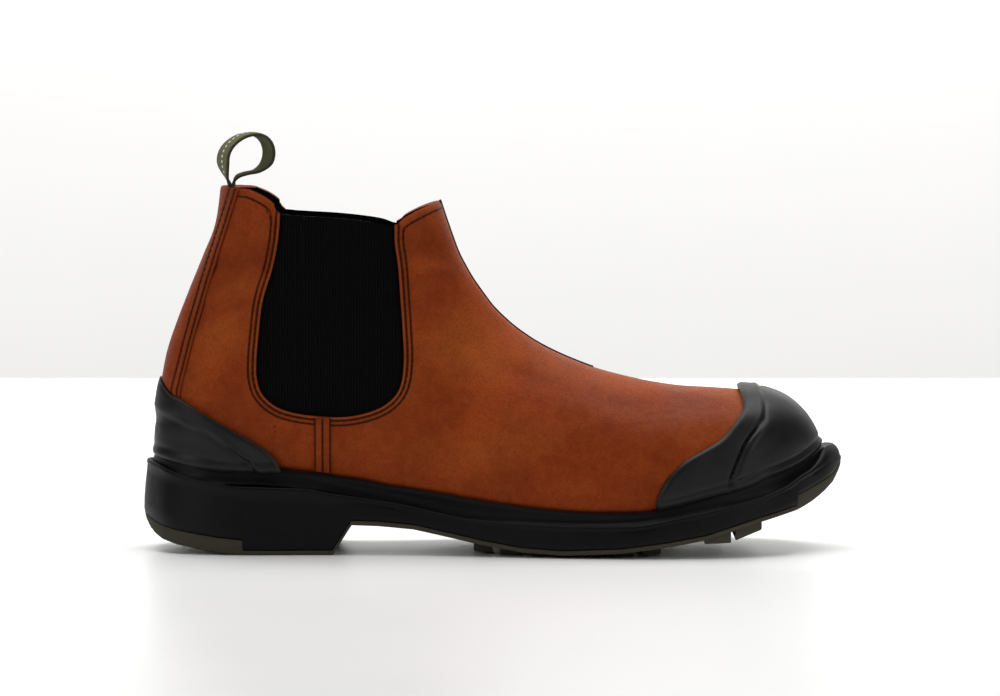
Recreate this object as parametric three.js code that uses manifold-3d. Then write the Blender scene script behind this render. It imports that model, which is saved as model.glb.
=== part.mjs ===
// A pull-on ankle work boot for the right foot, with elastic sides, a rubber toe cap and a rubber heel
// counter. Millimetres: +X runs to the toe, +Y to the inner side of the foot, +Z up, and the origin is
// on the floor under the middle of the heel.

import * as THREE from "three";
import { mergeVertices } from "three/addons/utils/BufferGeometryUtils.js";
import Module from "manifold-3d";

const wasm = await Module();
wasm.setup();

// Sizes of the last.
const lastLength = 287.5;
const ballWidth = 101;
const shaftWidth = 69;
const seatHeight = 31;
const instepRise = 72;
const shaftRise = 57;

// Sizes of the sole around it.
const heelOverhang = 7;
const toeOverhang = 11.5;
const randThickness = 2.2;
const soleLayer = 2;
const treadMargin = 10;
const heelGroove = 4;
const heelGrooveDepth = 1.4;

// Thicknesses of the pieces of the upper.
const wall = 1.9;
const elasticThickness = 1.4;
const elasticOverlap = 7;
const insoleThickness = 3.5;
const toeCapThickness = 2.6;
const toeCapStep = 0.6;
const toeCapLip = 3;
const counterThickness = 2.3;
const counterBandStep = 0.7;
const stripThickness = 1.2;
const seamWidth = 7;

// The pull loop's tape.
const tapeWidth = 14;
const tapeThickness = 1.2;

// What curved pieces keep between them.
const clearance = 0.3;

const soleLength = heelOverhang + lastLength + toeOverhang;
const reach = ballWidth;
const sky = 2 * (seatHeight + instepRise + shaftRise);

// A table's rows as objects, with the columns that its heading names.
function table(heading, rows) {
  const columns = heading.split(" ");
  return rows.map((row) => Object.fromEntries(columns.map((name, i) => [name, row[i]])));
}

// Heights are levels: 0 is the floor, 1 the seat under the heel, 2 the front of the ankle, 3 the back
// of the collar.
function height(level) {
  if (level <= 1) return level * seatHeight;
  if (level <= 2) return seatHeight + (level - 1) * instepRise;
  return seatHeight + instepRise + (level - 2) * shaftRise;
}

// The last's lengths are shares of its length from the heel, and the sole's are shares of the sole's
// length.
const alongLast = (share) => heelOverhang + share * lastLength;
const alongSole = (share) => share * soleLength;

// Sections of the last, which turn like a fan from above the collar, round the ankle, to the toe. Each
// runs from its back or bottom point (backX, backZ) to its front or top point (frontX, frontZ), and is
// outer and inner wide to its two sides, as shares of the shaft's width or, from the instep on, of the
// ball's. The widest place lies at the share belly of the way, and the powers say how square the two
// ends are.
const sectionHeading = "backX backZ frontX frontZ outer inner belly backPower frontPower";
const shaftSections = table(sectionHeading, [
  [0.101, 3.228, 0.407, 3.14, 0.5, 0.5, 0.48, 2.4, 2.1],
  [0.096, 2.996, 0.425, 2.891, 0.5, 0.5, 0.48, 2.4, 2.1],
  [0.087, 2.688, 0.435, 2.74, 0.493, 0.493, 0.48, 2.4, 2.1],
  [0.068, 2.442, 0.444, 2.609, 0.486, 0.486, 0.48, 2.5, 2.1],
  [0.047, 2.182, 0.454, 2.474, 0.478, 0.478, 0.48, 2.6, 2.1],
  [0.028, 1.949, 0.465, 2.365, 0.478, 0.478, 0.48, 2.7, 2.1],
  [0.013, 1.768, 0.475, 2.277, 0.478, 0.478, 0.47, 2.8, 2.1],
  [0.004, 1.572, 0.486, 2.196, 0.481, 0.481, 0.46, 2.9, 2.1],
  [0.0, 1.378, 0.496, 2.126, 0.486, 0.486, 0.45, 3, 2.1],
  [0.001, 1.194, 0.506, 2.06, 0.49, 0.49, 0.43, 3, 2.1],
  [0.021, 1.042, 0.517, 2.002, 0.493, 0.493, 0.41, 3, 2.1],
  [0.08, 0.994, 0.528, 1.96, 0.493, 0.493, 0.38, 3, 2.1],
]);
const footSections = table(sectionHeading, [
  [0.167, 0.968, 0.54, 1.919, 0.34, 0.332, 0.35, 3, 2.1],
  [0.254, 0.897, 0.554, 1.878, 0.347, 0.332, 0.33, 3, 2.1],
  [0.334, 0.781, 0.571, 1.833, 0.366, 0.347, 0.31, 3, 2.1],
  [0.41, 0.639, 0.595, 1.781, 0.396, 0.371, 0.3, 3, 2.1],
  [0.487, 0.503, 0.626, 1.725, 0.436, 0.411, 0.3, 3, 2.1],
  [0.56, 0.406, 0.664, 1.668, 0.48, 0.455, 0.3, 3, 2.1],
  [0.63, 0.361, 0.706, 1.622, 0.51, 0.48, 0.3, 3, 2.15],
  [0.696, 0.361, 0.748, 1.586, 0.515, 0.485, 0.3, 3, 2.2],
  [0.758, 0.403, 0.793, 1.56, 0.5, 0.48, 0.31, 3, 2.25],
  [0.817, 0.5, 0.838, 1.549, 0.47, 0.46, 0.33, 3, 2.3],
  [0.866, 0.619, 0.88, 1.536, 0.441, 0.439, 0.36, 3, 2.35],
  [0.908, 0.761, 0.918, 1.517, 0.391, 0.398, 0.39, 3, 2.4],
  [0.943, 0.923, 0.951, 1.467, 0.317, 0.337, 0.42, 2.8, 2.4],
  [0.97, 1.042, 0.976, 1.381, 0.228, 0.257, 0.45, 2.6, 2.4],
  [0.988, 1.111, 0.991, 1.289, 0.139, 0.163, 0.48, 2.4, 2.3],
  [0.998, 1.153, 0.998, 1.215, 0.059, 0.074, 0.5, 2.2, 2.2],
]);
const sectionCount = 30;
const sectionPoints = 28;

// The sole's outline: half widths as shares of the ball's width.
const outlineRows = table("at outer inner", [
  [0.03, 0.233, 0.233],
  [0.065, 0.312, 0.312],
  [0.1, 0.351, 0.35],
  [0.16, 0.374, 0.369],
  [0.25, 0.367, 0.354],
  [0.34, 0.37, 0.345],
  [0.42, 0.398, 0.378],
  [0.5, 0.452, 0.43],
  [0.58, 0.51, 0.482],
  [0.66, 0.545, 0.513],
  [0.74, 0.55, 0.525],
  [0.82, 0.51, 0.505],
  [0.88, 0.446, 0.46],
  [0.92, 0.371, 0.391],
  [0.96, 0.238, 0.267],
  [0.985, 0.129, 0.158],
]);
const toeTipInner = 0.015;
const outlineSteps = 2;

// Lines along the sole, each a level at a share of its length: the top of the rand, the groove on top
// of the side wall, and the outsole's lower edge with its thickness in layers, which is larger at the
// heel's corner and in the toe lug.
const randLine = table("at level", [
  [0, 1.194], [0.036, 1.153], [0.095, 1.104], [0.147, 1.09], [0.199, 1.097], [0.265, 1.064],
  [0.337, 1.015], [0.408, 0.929], [0.48, 0.813], [0.552, 0.723], [0.624, 0.671], [0.709, 0.677],
  [0.758, 0.755], [0.82, 0.91], [0.873, 1.033], [0.899, 1.074], [0.927, 1.119], [0.954, 1.181],
  [0.974, 1.215], [1, 1.222],
]);
const grooveLine = table("at level", [
  [0, 1.118], [0.02, 1.097], [0.039, 1.067], [0.078, 1.021], [0.111, 0.997], [0.141, 0.965],
  [0.229, 0.935], [0.265, 0.877], [0.32, 0.794], [0.373, 0.71], [0.461, 0.532], [0.539, 0.481],
  [0.611, 0.458], [0.68, 0.461], [0.709, 0.477], [0.755, 0.561], [0.82, 0.697], [0.878, 0.839],
  [0.927, 1.017], [0.954, 1.079], [0.971, 1.131], [0.984, 1.181], [1, 1.194],
]);
const treadLine = table("at level layers", [
  [0, 0.532, 0.2], [0.01, 0.326, 2.2], [0.029, 0.184, 3.1], [0.078, 0.084, 3.2], [0.144, 0.003, 3.2],
  [0.1445, 0, 1], [0.272, 0, 1], [0.276, 0.065, 1], [0.299, 0.419, 1], [0.337, 0.406, 1],
  [0.386, 0.365, 1], [0.484, 0.161, 1], [0.539, 0.071, 1], [0.598, 0.039, 1], [0.68, 0.074, 1],
  [0.745, 0.158, 1], [0.801, 0.255, 1], [0.876, 0.481, 1], [0.932, 0.625, 1], [0.933, 0.628, 3.2],
  [0.954, 0.719, 3.2], [0.975, 0.861, 2.4], [0.987, 0.981, 2], [0.996, 1.044, 1.3], [1, 1.076, 1],
]);

// Lines on the upper, seen from the side, each a level at a share of the last's length.
const collarLine = table("at level", [
  [0.096, 2.982], [0.133, 2.974], [0.147, 2.954], [0.163, 2.916], [0.177, 2.863], [0.186, 2.804],
  [0.273, 2.772], [0.335, 2.737], [0.36, 2.702], [0.374, 2.754], [0.394, 2.809], [0.413, 2.851],
  [0.428, 2.877],
]);
const gussetLine = table("at level", [
  [0.186, 2.796], [0.183, 2.596], [0.174, 2.365], [0.16, 2.135], [0.154, 1.924], [0.15, 1.743],
  [0.151, 1.622], [0.16, 1.531], [0.182, 1.458], [0.212, 1.421], [0.25, 1.403], [0.289, 1.403],
  [0.327, 1.439], [0.353, 1.5], [0.368, 1.592], [0.373, 1.744], [0.371, 1.928], [0.368, 2.14],
  [0.365, 2.368], [0.36, 2.561], [0.36, 2.702],
]);
const capLine = table("at level", [
  [0.886, 1.569], [0.889, 1.5], [0.886, 1.439], [0.878, 1.394], [0.866, 1.337], [0.848, 1.267],
  [0.822, 1.208], [0.797, 1.153], [0.777, 1.083], [0.762, 1.007], [0.754, 0.871], [0.751, 0.774],
]);
const domeLine = table("at level", [
  [0.906, 1.597], [0.912, 1.486], [0.912, 1.41], [0.908, 1.354], [0.886, 1.247], [0.871, 1.126],
  [0.857, 0.958], [0.852, 0.71],
]);
const rimFoot = 1.35;
const counterLine = table("at level", [
  [0.005, 1.628], [0.008, 1.592], [0.024, 1.522], [0.037, 1.5], [0.059, 1.447], [0.086, 1.383],
  [0.109, 1.332], [0.157, 1.226], [0.176, 1.165], [0.192, 1.086],
]);
const counterBandLine = table("at level", [
  [-0.009, 1.485], [0.003, 1.435], [0.054, 1.336], [0.08, 1.31], [0.118, 1.201], [0.142, 1.142],
  [0.155, 1.086],
]);
const backstayLine = table("at level", [
  [0.125, 2.977], [0.035, 1.55],
]);
const seamStart = 0.238;
const insoleEnd = 0.98;

// The pull loop's middle line, seen from the side, as shares of its own length forward and height up
// from the back of the collar.
const loopLength = 20;
const loopHeight = 22;
const loopRows = table("forward up", [
  [0.11, -0.6], [0.19, -0.3], [0.24, -0.02], [0.15, 0.18], [0.06, 0.42], [0.08, 0.66], [0.2, 0.87],
  [0.45, 1], [0.73, 1], [0.92, 0.88], [1, 0.68], [0.95, 0.46], [0.78, 0.34], [0.55, 0.31], [0.39, 0.26],
  [0.33, 0.12], [0.325, -0.03], [0.275, -0.31], [0.195, -0.61],
]);
const loopSpread = 0.08;

// A value in a table at a row number that may lie between two rows, on a smooth curve through the rows.
function smooth(rows, column, place) {
  const start = Math.min(Math.floor(place), rows.length - 2);
  const t = place - start;
  const [a, b, c, d] = [-1, 0, 1, 2].map(
    (step) => rows[THREE.MathUtils.clamp(start + step, 0, rows.length - 1)][column],
  );
  const slopeIn = (c - a) / 2;
  const slopeOut = (d - b) / 2;
  const bend = 2 * (b - c) + slopeIn + slopeOut;
  return b + t * (slopeIn + t * (c - b - slopeIn - bend + t * bend));
}

// A value in a table at a share between its rows, on straight lines from row to row.
function between(rows, column, share) {
  const next = rows.findIndex((row) => row.at >= share);
  if (next === 0) return rows[0][column];
  if (next < 0) return rows.at(-1)[column];
  const [low, high] = [rows[next - 1], rows[next]];
  return THREE.MathUtils.mapLinear(share, low.at, high.at, low[column], high[column]);
}

// The solid of a closed geometry.
function solid(geometry) {
  const plain = geometry.clone();
  plain.deleteAttribute("normal");
  plain.deleteAttribute("uv");
  const merged = mergeVertices(plain, 1e-4);
  return new wasm.Manifold(
    new wasm.Mesh({
      numProp: 3,
      vertProperties: merged.attributes.position.array,
      triVerts: new Uint32Array(merged.index.array),
    }),
  );
}

// A closed surface through rings of equal length. Each end is closed by strips between the two halves
// of its ring, where point k faces point seam - k.
function loft(rings, seam) {
  const count = rings[0].length;
  const index = [];
  const final = (rings.length - 1) * count;
  const quad = (a, b, c, d) => index.push(a, b, c, a, c, d);
  for (let row = 0; row < final; row += count) {
    for (let k = 0; k < count; k++) {
      const next = (k + 1) % count;
      quad(row + k, row + next, row + count + next, row + count + k);
    }
  }
  for (let k = 0; k < count / 2; k++) {
    const facing = (seam - k + count) % count;
    const corners = [...new Set([k, facing, (facing - 1 + count) % count, (k + 1) % count])];
    for (let i = 2; i < corners.length; i++) {
      index.push(corners[0], corners[i - 1], corners[i]);
      index.push(final + corners[0], final + corners[i], final + corners[i - 1]);
    }
  }
  const geometry = new THREE.BufferGeometry();
  geometry.setAttribute("position", new THREE.Float32BufferAttribute(rings.flat(2), 3));
  geometry.setIndex(index);
  return geometry;
}

// One ring of the last's surface, at a row number of the table of sections.
function sectionRing(rows, place) {
  const value = (column) => smooth(rows, column, place);
  const back = new THREE.Vector2(alongLast(value("backX")), height(value("backZ")));
  const front = new THREE.Vector2(alongLast(value("frontX")), height(value("frontZ")));
  const middle = back.clone().lerp(front, value("belly"));
  const ring = [];
  for (let k = 0; k < sectionPoints; k++) {
    const angle = (2 * Math.PI * k) / sectionPoints;
    const c = Math.cos(angle);
    const s = Math.sin(angle);
    const power = value(c > 0 ? "frontPower" : "backPower");
    const size = (Math.abs(c) ** power + Math.abs(s) ** power) ** (-1 / power);
    const end = c > 0 ? front : back;
    const side = s > 0 ? -value("outer") : value("inner");
    const point = middle.clone().lerp(end, Math.abs(c) * size);
    ring.push([point.x, side * Math.abs(s) * size, point.y]);
  }
  return ring;
}

// The last's surface, as one indexed geometry with a normal at each point.
function lastSurface() {
  const shaftPlaces = shaftSections.length;
  const places = shaftPlaces + footSections.length - 1;
  const joined = [...shaftSections, ...footSections].map((row, i) => {
    const width = i < shaftPlaces ? shaftWidth : ballWidth;
    return { ...row, outer: row.outer * width, inner: row.inner * width };
  });
  const rings = [];
  for (let i = 0; i < sectionCount; i++) {
    rings.push(sectionRing(joined, (places * i) / (sectionCount - 1)));
  }
  const geometry = loft(rings, 0);
  geometry.computeVertexNormals();
  return geometry;
}
const last = lastSurface();

// The last's form with its skin moved out by an offset, or in where it is negative.
function form(offset) {
  const geometry = last.clone();
  const { position, normal } = geometry.attributes;
  for (let i = 0; i < position.count; i++) {
    position.setXYZ(
      i,
      position.getX(i) + offset * normal.getX(i),
      position.getY(i) + offset * normal.getY(i),
      position.getZ(i) + offset * normal.getZ(i),
    );
  }
  return solid(geometry);
}

// The layer of the upper that lies between two offsets of the last.
const layer = (inside, outside) => form(outside).subtract(form(inside));

// A block from one side of the boot to the other, whose side view is the outline of [x, z] points.
function sideBlock(points, from = -reach, to = reach) {
  const shape = new THREE.Shape(points.map(([x, z]) => new THREE.Vector2(x, z)));
  const geometry = new THREE.ExtrudeGeometry(shape, { depth: to - from, bevelEnabled: false });
  geometry.rotateX(Math.PI / 2);
  geometry.translate(0, to, 0);
  return solid(geometry);
}

// The [x, z] points of a line on the upper or along the sole.
const lastPoints = (rows) => rows.map(({ at, level }) => [alongLast(at), height(level)]);
const solePoints = (rows) => rows.map(({ at, level }) => [alongSole(at), height(level)]);

// The block above a line that runs from the heel to the toe, raised by a gap, and the block behind a
// line that runs down, moved forward by a gap.
function above(points, gap = 0) {
  const raised = points.map(([x, z]) => [x, z + gap]);
  const start = [-reach, raised[0][1]];
  const end = [2 * soleLength, raised.at(-1)[1]];
  return sideBlock([start, ...raised, end, [2 * soleLength, sky], [-reach, sky]]);
}
function behind(points, gap = 0) {
  const moved = points.map(([x, z]) => [x + gap, z]);
  const top = [moved[0][0], sky];
  const bottom = [moved.at(-1)[0], -reach];
  return sideBlock([top, ...moved, bottom, [-reach, -reach], [-reach, sky]]);
}

// An outline with each point moved outward, square to the line between its neighbours.
function grown(points, distance) {
  return points.map(([x, z], i) => {
    const [ax, az] = points[Math.max(i - 1, 0)];
    const [bx, bz] = points[Math.min(i + 1, points.length - 1)];
    const length = Math.hypot(bx - ax, bz - az);
    return [x + (distance * (bz - az)) / length, z - (distance * (bx - ax)) / length];
  });
}

const aboveRand = above(solePoints(randLine), clearance);
const aboveCollar = above(lastPoints(collarLine));
const behindCap = behind(lastPoints(capLine));
const behindDome = behind(lastPoints(domeLine));
const slab = (from, to, low, high) =>
  sideBlock([[from, low[0]], [to, low[1]], [to, high[1]], [from, high[0]]]);
const belowRim = slab(-reach, 2 * soleLength, [-reach, -reach], [height(rimFoot), height(rimFoot)]);

// The line along the bottom of the last, from the heel to the toe, where the upper is lasted round the
// insole.
const bottomLine = [...shaftSections.slice(-2), ...footSections].map((row) => [
  alongLast(row.backX),
  height(row.backZ),
]);
const aboveLasting = above(bottomLine, wall + 2 * clearance);

// The leather upper: one hollow wall, open at the collar, at the two elastic sides and underneath.
function upper() {
  const cutOut = sideBlock([...lastPoints(gussetLine), [alongLast(0.36), sky], [alongLast(0.186), sky]]);
  return layer(-wall, 0).intersect(aboveLasting).subtract(aboveCollar).subtract(cutOut);
}

// One elastic side, which lies inside the wall and reaches past the edge of its opening.
function gusset(from, to) {
  const edge = grown(lastPoints(gussetLine), elasticOverlap);
  const [[firstX]] = edge;
  const [lastX] = edge.at(-1);
  const patch = sideBlock([...edge, [lastX, sky], [firstX, sky]], from, to);
  const inside = -wall - clearance;
  return layer(inside - elasticThickness, inside).intersect(patch).subtract(aboveCollar);
}

// The rubber toe cap: a dome, a thinner wing behind it on each side, and a raised rim along its top
// edge.
function toeCap() {
  const outside = clearance + toeCapThickness;
  const raised = form(outside + toeCapStep);
  const lip = raised.subtract(above(solePoints(randLine), clearance + toeCapLip)).subtract(behindDome);
  const rim = raised.intersect(behindDome).subtract(belowRim);
  const wing = layer(outside - toeCapStep, outside + 2 * toeCapStep)
    .intersect(behindDome)
    .intersect(belowRim);
  const shell = form(outside).add(lip).add(rim).subtract(wing);
  return shell.subtract(form(clearance)).subtract(behindCap).intersect(aboveRand);
}

// The rubber heel counter, with a raised band along its upper edge.
function heelCounter() {
  const under = above(lastPoints(counterLine));
  const raised = form(clearance + counterThickness + counterBandStep);
  const band = raised.intersect(above(lastPoints(counterBandLine)));
  const shell = form(clearance + counterThickness).add(band);
  const front = behind([[alongLast(counterLine.at(-1).at), 0]]);
  return shell.subtract(form(clearance)).subtract(under).intersect(aboveRand).intersect(front);
}

// The leather strip up the back, from the counter to the collar.
function backstay() {
  const strip = behind(lastPoints(backstayLine));
  const overCounter = above(lastPoints(counterLine), clearance);
  return layer(clearance, clearance + stripThickness)
    .intersect(strip)
    .intersect(overCounter)
    .subtract(aboveCollar);
}

// The lapped seam under one elastic side, down to the rand.
function sideSeam(from, to) {
  const start = alongLast(seamStart);
  const top = height(between(gussetLine.slice(9, 13), "level", seamStart)) - clearance;
  const end = start + seamWidth;
  const strip = sideBlock([[start, 0], [end, 0], [end, top], [start, top]], from, to);
  return layer(clearance, clearance + stripThickness).intersect(strip).intersect(aboveRand);
}

// The insole board: it plugs the opening under the upper and overlaps its lower edge inside.
function insole() {
  const top = above(bottomLine, wall + insoleThickness);
  const plug = form(-clearance).subtract(above(bottomLine, wall));
  const board = form(-wall - clearance).subtract(top);
  return board.add(plug).intersect(behind([[alongLast(insoleEnd), 0]]));
}

// The sole's outline as a curve round its points, from the heel along the outer side to the toe and
// back.
function outline() {
  const point = (at, half) => new THREE.Vector3(alongSole(at), half * ballWidth, 0);
  const outer = outlineRows.map((row) => point(row.at, -row.outer));
  const inner = outlineRows.map((row) => point(row.at, row.inner)).reverse();
  const points = [point(0, 0), ...outer, point(1, toeTipInner), ...inner];
  const curve = new THREE.CatmullRomCurve3(points, true, "centripetal");
  return curve.getPoints(points.length * outlineSteps).slice(0, -1);
}
const solePlan = outline();

// A ring of the sole: its outline moved in by an inset, at heights given by a function of x.
function soleRing(inset, heightAt) {
  const count = solePlan.length;
  return solePlan.map((point, i) => {
    const before = solePlan[(i - 1 + count) % count];
    const after = solePlan[(i + 1) % count];
    const outward = new THREE.Vector2(after.y - before.y, before.x - after.x).normalize();
    const x = point.x - inset * outward.x;
    return [x, point.y - inset * outward.y, heightAt(x)];
  });
}

const levelAt = (rows, x) => height(between(rows, "level", x / soleLength));
const grooveAt = (x) => levelAt(grooveLine, x);
const treadAt = (x) => levelAt(treadLine, x);

// The sole's whole body up to its groove, which the outsole and the black sole share at the seam
// between them.
const wallRows = table("share inset", [
  [-0.1, 0.8],
  [0.8, 0],
  [1, 1.2],
]);
const seamPoints = treadLine.map(({ at, level, layers }) => [
  alongSole(at),
  height(level) + layers * soleLayer,
]);
const soleBody = solid(
  loft(wallRows.map(({ share, inset }) => soleRing(inset, (x) => share * grooveAt(x))), 0),
).intersect(above(solePoints(treadLine)));

// The black sole: a side wall, and a thinner rand above its groove that stands up round the upper.
function midsole() {
  const rand = form(clearance + randThickness)
    .subtract(above(solePoints(randLine)))
    .intersect(above(solePoints(grooveLine), -randThickness));
  const upperPart = above(grown(seamPoints, -clearance));
  return soleBody.intersect(upperPart).add(rand).subtract(form(clearance));
}

// Bars across the tread, from one share of the sole's length to another, as far in from its edge as a
// share of the tread's margin, with the levels of their lower corners.
const barRows = table("from to margin fromLevel toLevel", [
  [0.472, 0.498, 1, 0.05, 0.03],
  [0.51, 0.538, 1, 0, 0],
  [0.55, 0.578, 1, 0, 0],
  [0.59, 0.618, 1, 0, 0],
  [0.63, 0.658, 1, 0, 0],
  [0.67, 0.698, 1, 0, 0],
  [0.71, 0.736, 1, 0.02, 0.04],
  [0.797, 0.835, 0.1, 0.2, 0.21],
  [0.841, 0.879, 0.1, 0.24, 0.38],
]);

// The space inside the sole's outline, moved in by a margin, between two planes.
function pad(margin, low, high) {
  return solid(loft([soleRing(margin, () => low), soleRing(margin, () => high)], 0));
}

// The outsole: a layer under the whole sole, with bars under the ball and the toes and grooves across
// the heel.
const heelFlat = { from: 0.147, to: 0.272 };
const heelMiddle = alongSole((heelFlat.from + heelFlat.to) / 2);
function outsole() {
  let whole = soleBody.subtract(above(seamPoints));
  for (const bar of barRows) {
    const [from, to] = [alongSole(bar.from), alongSole(bar.to)];
    const low = [height(bar.fromLevel), height(bar.toLevel)];
    const high = [treadAt(from) + soleLayer / 2, treadAt(to) + soleLayer / 2];
    whole = whole.add(pad(bar.margin * treadMargin, 0, seatHeight).intersect(slab(from, to, low, high)));
  }
  for (const side of [-1, 1]) {
    const middle = heelMiddle + (side * alongSole(heelFlat.to - heelFlat.from)) / 4;
    const [from, to] = [middle - heelGroove / 2, middle + heelGroove / 2];
    const [low, high] = [-heelGrooveDepth, heelGrooveDepth];
    const groove = slab(from, to, [low, low], [high, high]);
    whole = whole.subtract(pad(treadMargin, low, high).intersect(groove));
  }
  return whole;
}

// The pull loop: a folded tape whose two ends lie on each other inside the back of the collar.
function pullLoop() {
  const [collarBack] = lastPoints(collarLine);
  const edge = (spread, y) => {
    const path = loopRows.map(({ forward, up }) => [
      collarBack[0] + forward * loopLength * (1 + spread),
      collarBack[1] + up * loopHeight,
    ]);
    const outside = grown(path, -tapeThickness / 2);
    const inside = grown(path, tapeThickness / 2).reverse();
    return [...outside, ...inside].map(([x, z]) => [x, y, z]);
  };
  return solid(loft([edge(-loopSpread, -tapeWidth / 2), edge(loopSpread, tapeWidth / 2)], -1));
}

// Colours, roughness and metalness of the materials.
const leather = { color: 0x7a3a20, roughness: 0.5, metalness: 0 };
const elastic = { color: 0x101010, roughness: 0.9, metalness: 0 };
const rubber = { color: 0x1c1c1c, roughness: 0.6, metalness: 0 };
const oliveRubber = { color: 0x35352a, roughness: 0.8, metalness: 0 };
const webbing = { color: 0x5a5a38, roughness: 0.95, metalness: 0 };
const board = { color: 0x1a1a1a, roughness: 0.95, metalness: 0 };

// The named mesh of a solid.
function piece(name, shape, finish) {
  const { numProp, vertProperties, triVerts } = shape.getMesh();
  const geometry = new THREE.BufferGeometry();
  geometry.setAttribute("position", new THREE.BufferAttribute(vertProperties, numProp));
  geometry.setIndex(new THREE.BufferAttribute(triVerts, 1));
  geometry.computeVertexNormals();
  const made = new THREE.Mesh(geometry, new THREE.MeshStandardMaterial(finish));
  made.name = name;
  return made;
}

const boot = new THREE.Group();
boot.add(
  piece("upper", upper(), leather),
  piece("gusset_outer", gusset(-reach, 0), elastic),
  piece("gusset_inner", gusset(0, reach), elastic),
  piece("toe_cap", toeCap(), rubber),
  piece("heel_counter", heelCounter(), rubber),
  piece("backstay", backstay(), leather),
  piece("side_seam_outer", sideSeam(-reach, 0), leather),
  piece("side_seam_inner", sideSeam(0, reach), leather),
  piece("insole", insole(), board),
  piece("midsole", midsole(), rubber),
  piece("outsole", outsole(), oliveRubber),
  piece("pull_loop", pullLoop(), webbing),
);
boot.position.x = -heelMiddle;

export default boot;
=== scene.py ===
"""A pull-on ankle work boot for the right foot: leather, elastic sides, rubber cap, counter and sole.

Metres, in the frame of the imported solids: +X to the toe, +Y to the inner side, +Z up, and the origin on
the floor under the middle of the heel.
"""

import math

import bmesh
import bpy
import numpy as np
from mathutils import Matrix, Vector


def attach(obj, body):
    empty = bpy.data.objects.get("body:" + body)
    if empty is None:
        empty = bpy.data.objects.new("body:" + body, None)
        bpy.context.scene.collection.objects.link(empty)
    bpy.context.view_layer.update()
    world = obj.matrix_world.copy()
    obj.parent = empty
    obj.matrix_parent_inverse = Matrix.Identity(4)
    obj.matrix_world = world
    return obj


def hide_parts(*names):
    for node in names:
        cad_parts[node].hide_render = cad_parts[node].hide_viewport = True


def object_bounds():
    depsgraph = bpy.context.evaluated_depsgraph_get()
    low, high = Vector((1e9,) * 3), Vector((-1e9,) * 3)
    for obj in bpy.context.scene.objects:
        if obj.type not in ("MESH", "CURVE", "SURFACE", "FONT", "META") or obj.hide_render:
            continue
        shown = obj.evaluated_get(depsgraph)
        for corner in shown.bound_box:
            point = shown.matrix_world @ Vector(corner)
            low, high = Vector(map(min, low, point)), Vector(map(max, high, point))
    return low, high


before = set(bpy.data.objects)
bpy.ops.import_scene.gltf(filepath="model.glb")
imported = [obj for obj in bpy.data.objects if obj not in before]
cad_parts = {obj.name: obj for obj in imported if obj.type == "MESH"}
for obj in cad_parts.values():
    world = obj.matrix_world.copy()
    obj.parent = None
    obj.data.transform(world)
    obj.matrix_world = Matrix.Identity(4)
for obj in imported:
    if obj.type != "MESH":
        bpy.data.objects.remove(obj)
cad_low, cad_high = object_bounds()

bl_info = {
    "name": "Ankle Work Boot",
    "version": (1, 0, 0),
    "blender": (4, 5, 0),
    "location": "View3D > Sidebar > Boot",
    "description": "Dresses a pull-on ankle work boot in leather, elastic, rubber and webbing",
    "category": "Add Mesh",
}

MM = 0.001

# A distance past everything on the boot.
FAR = 1.0


# Sizes and colours that a user may change

def length(name, description, default):
    """A length in metres."""
    return bpy.props.FloatProperty(
        name=name, description=description, default=default, unit="LENGTH", precision=5
    )


def colour(name, description, default):
    """A colour."""
    return bpy.props.FloatVectorProperty(
        name=name, description=description, default=(*default, 1), size=4, min=0, max=1, subtype="COLOR"
    )


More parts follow.
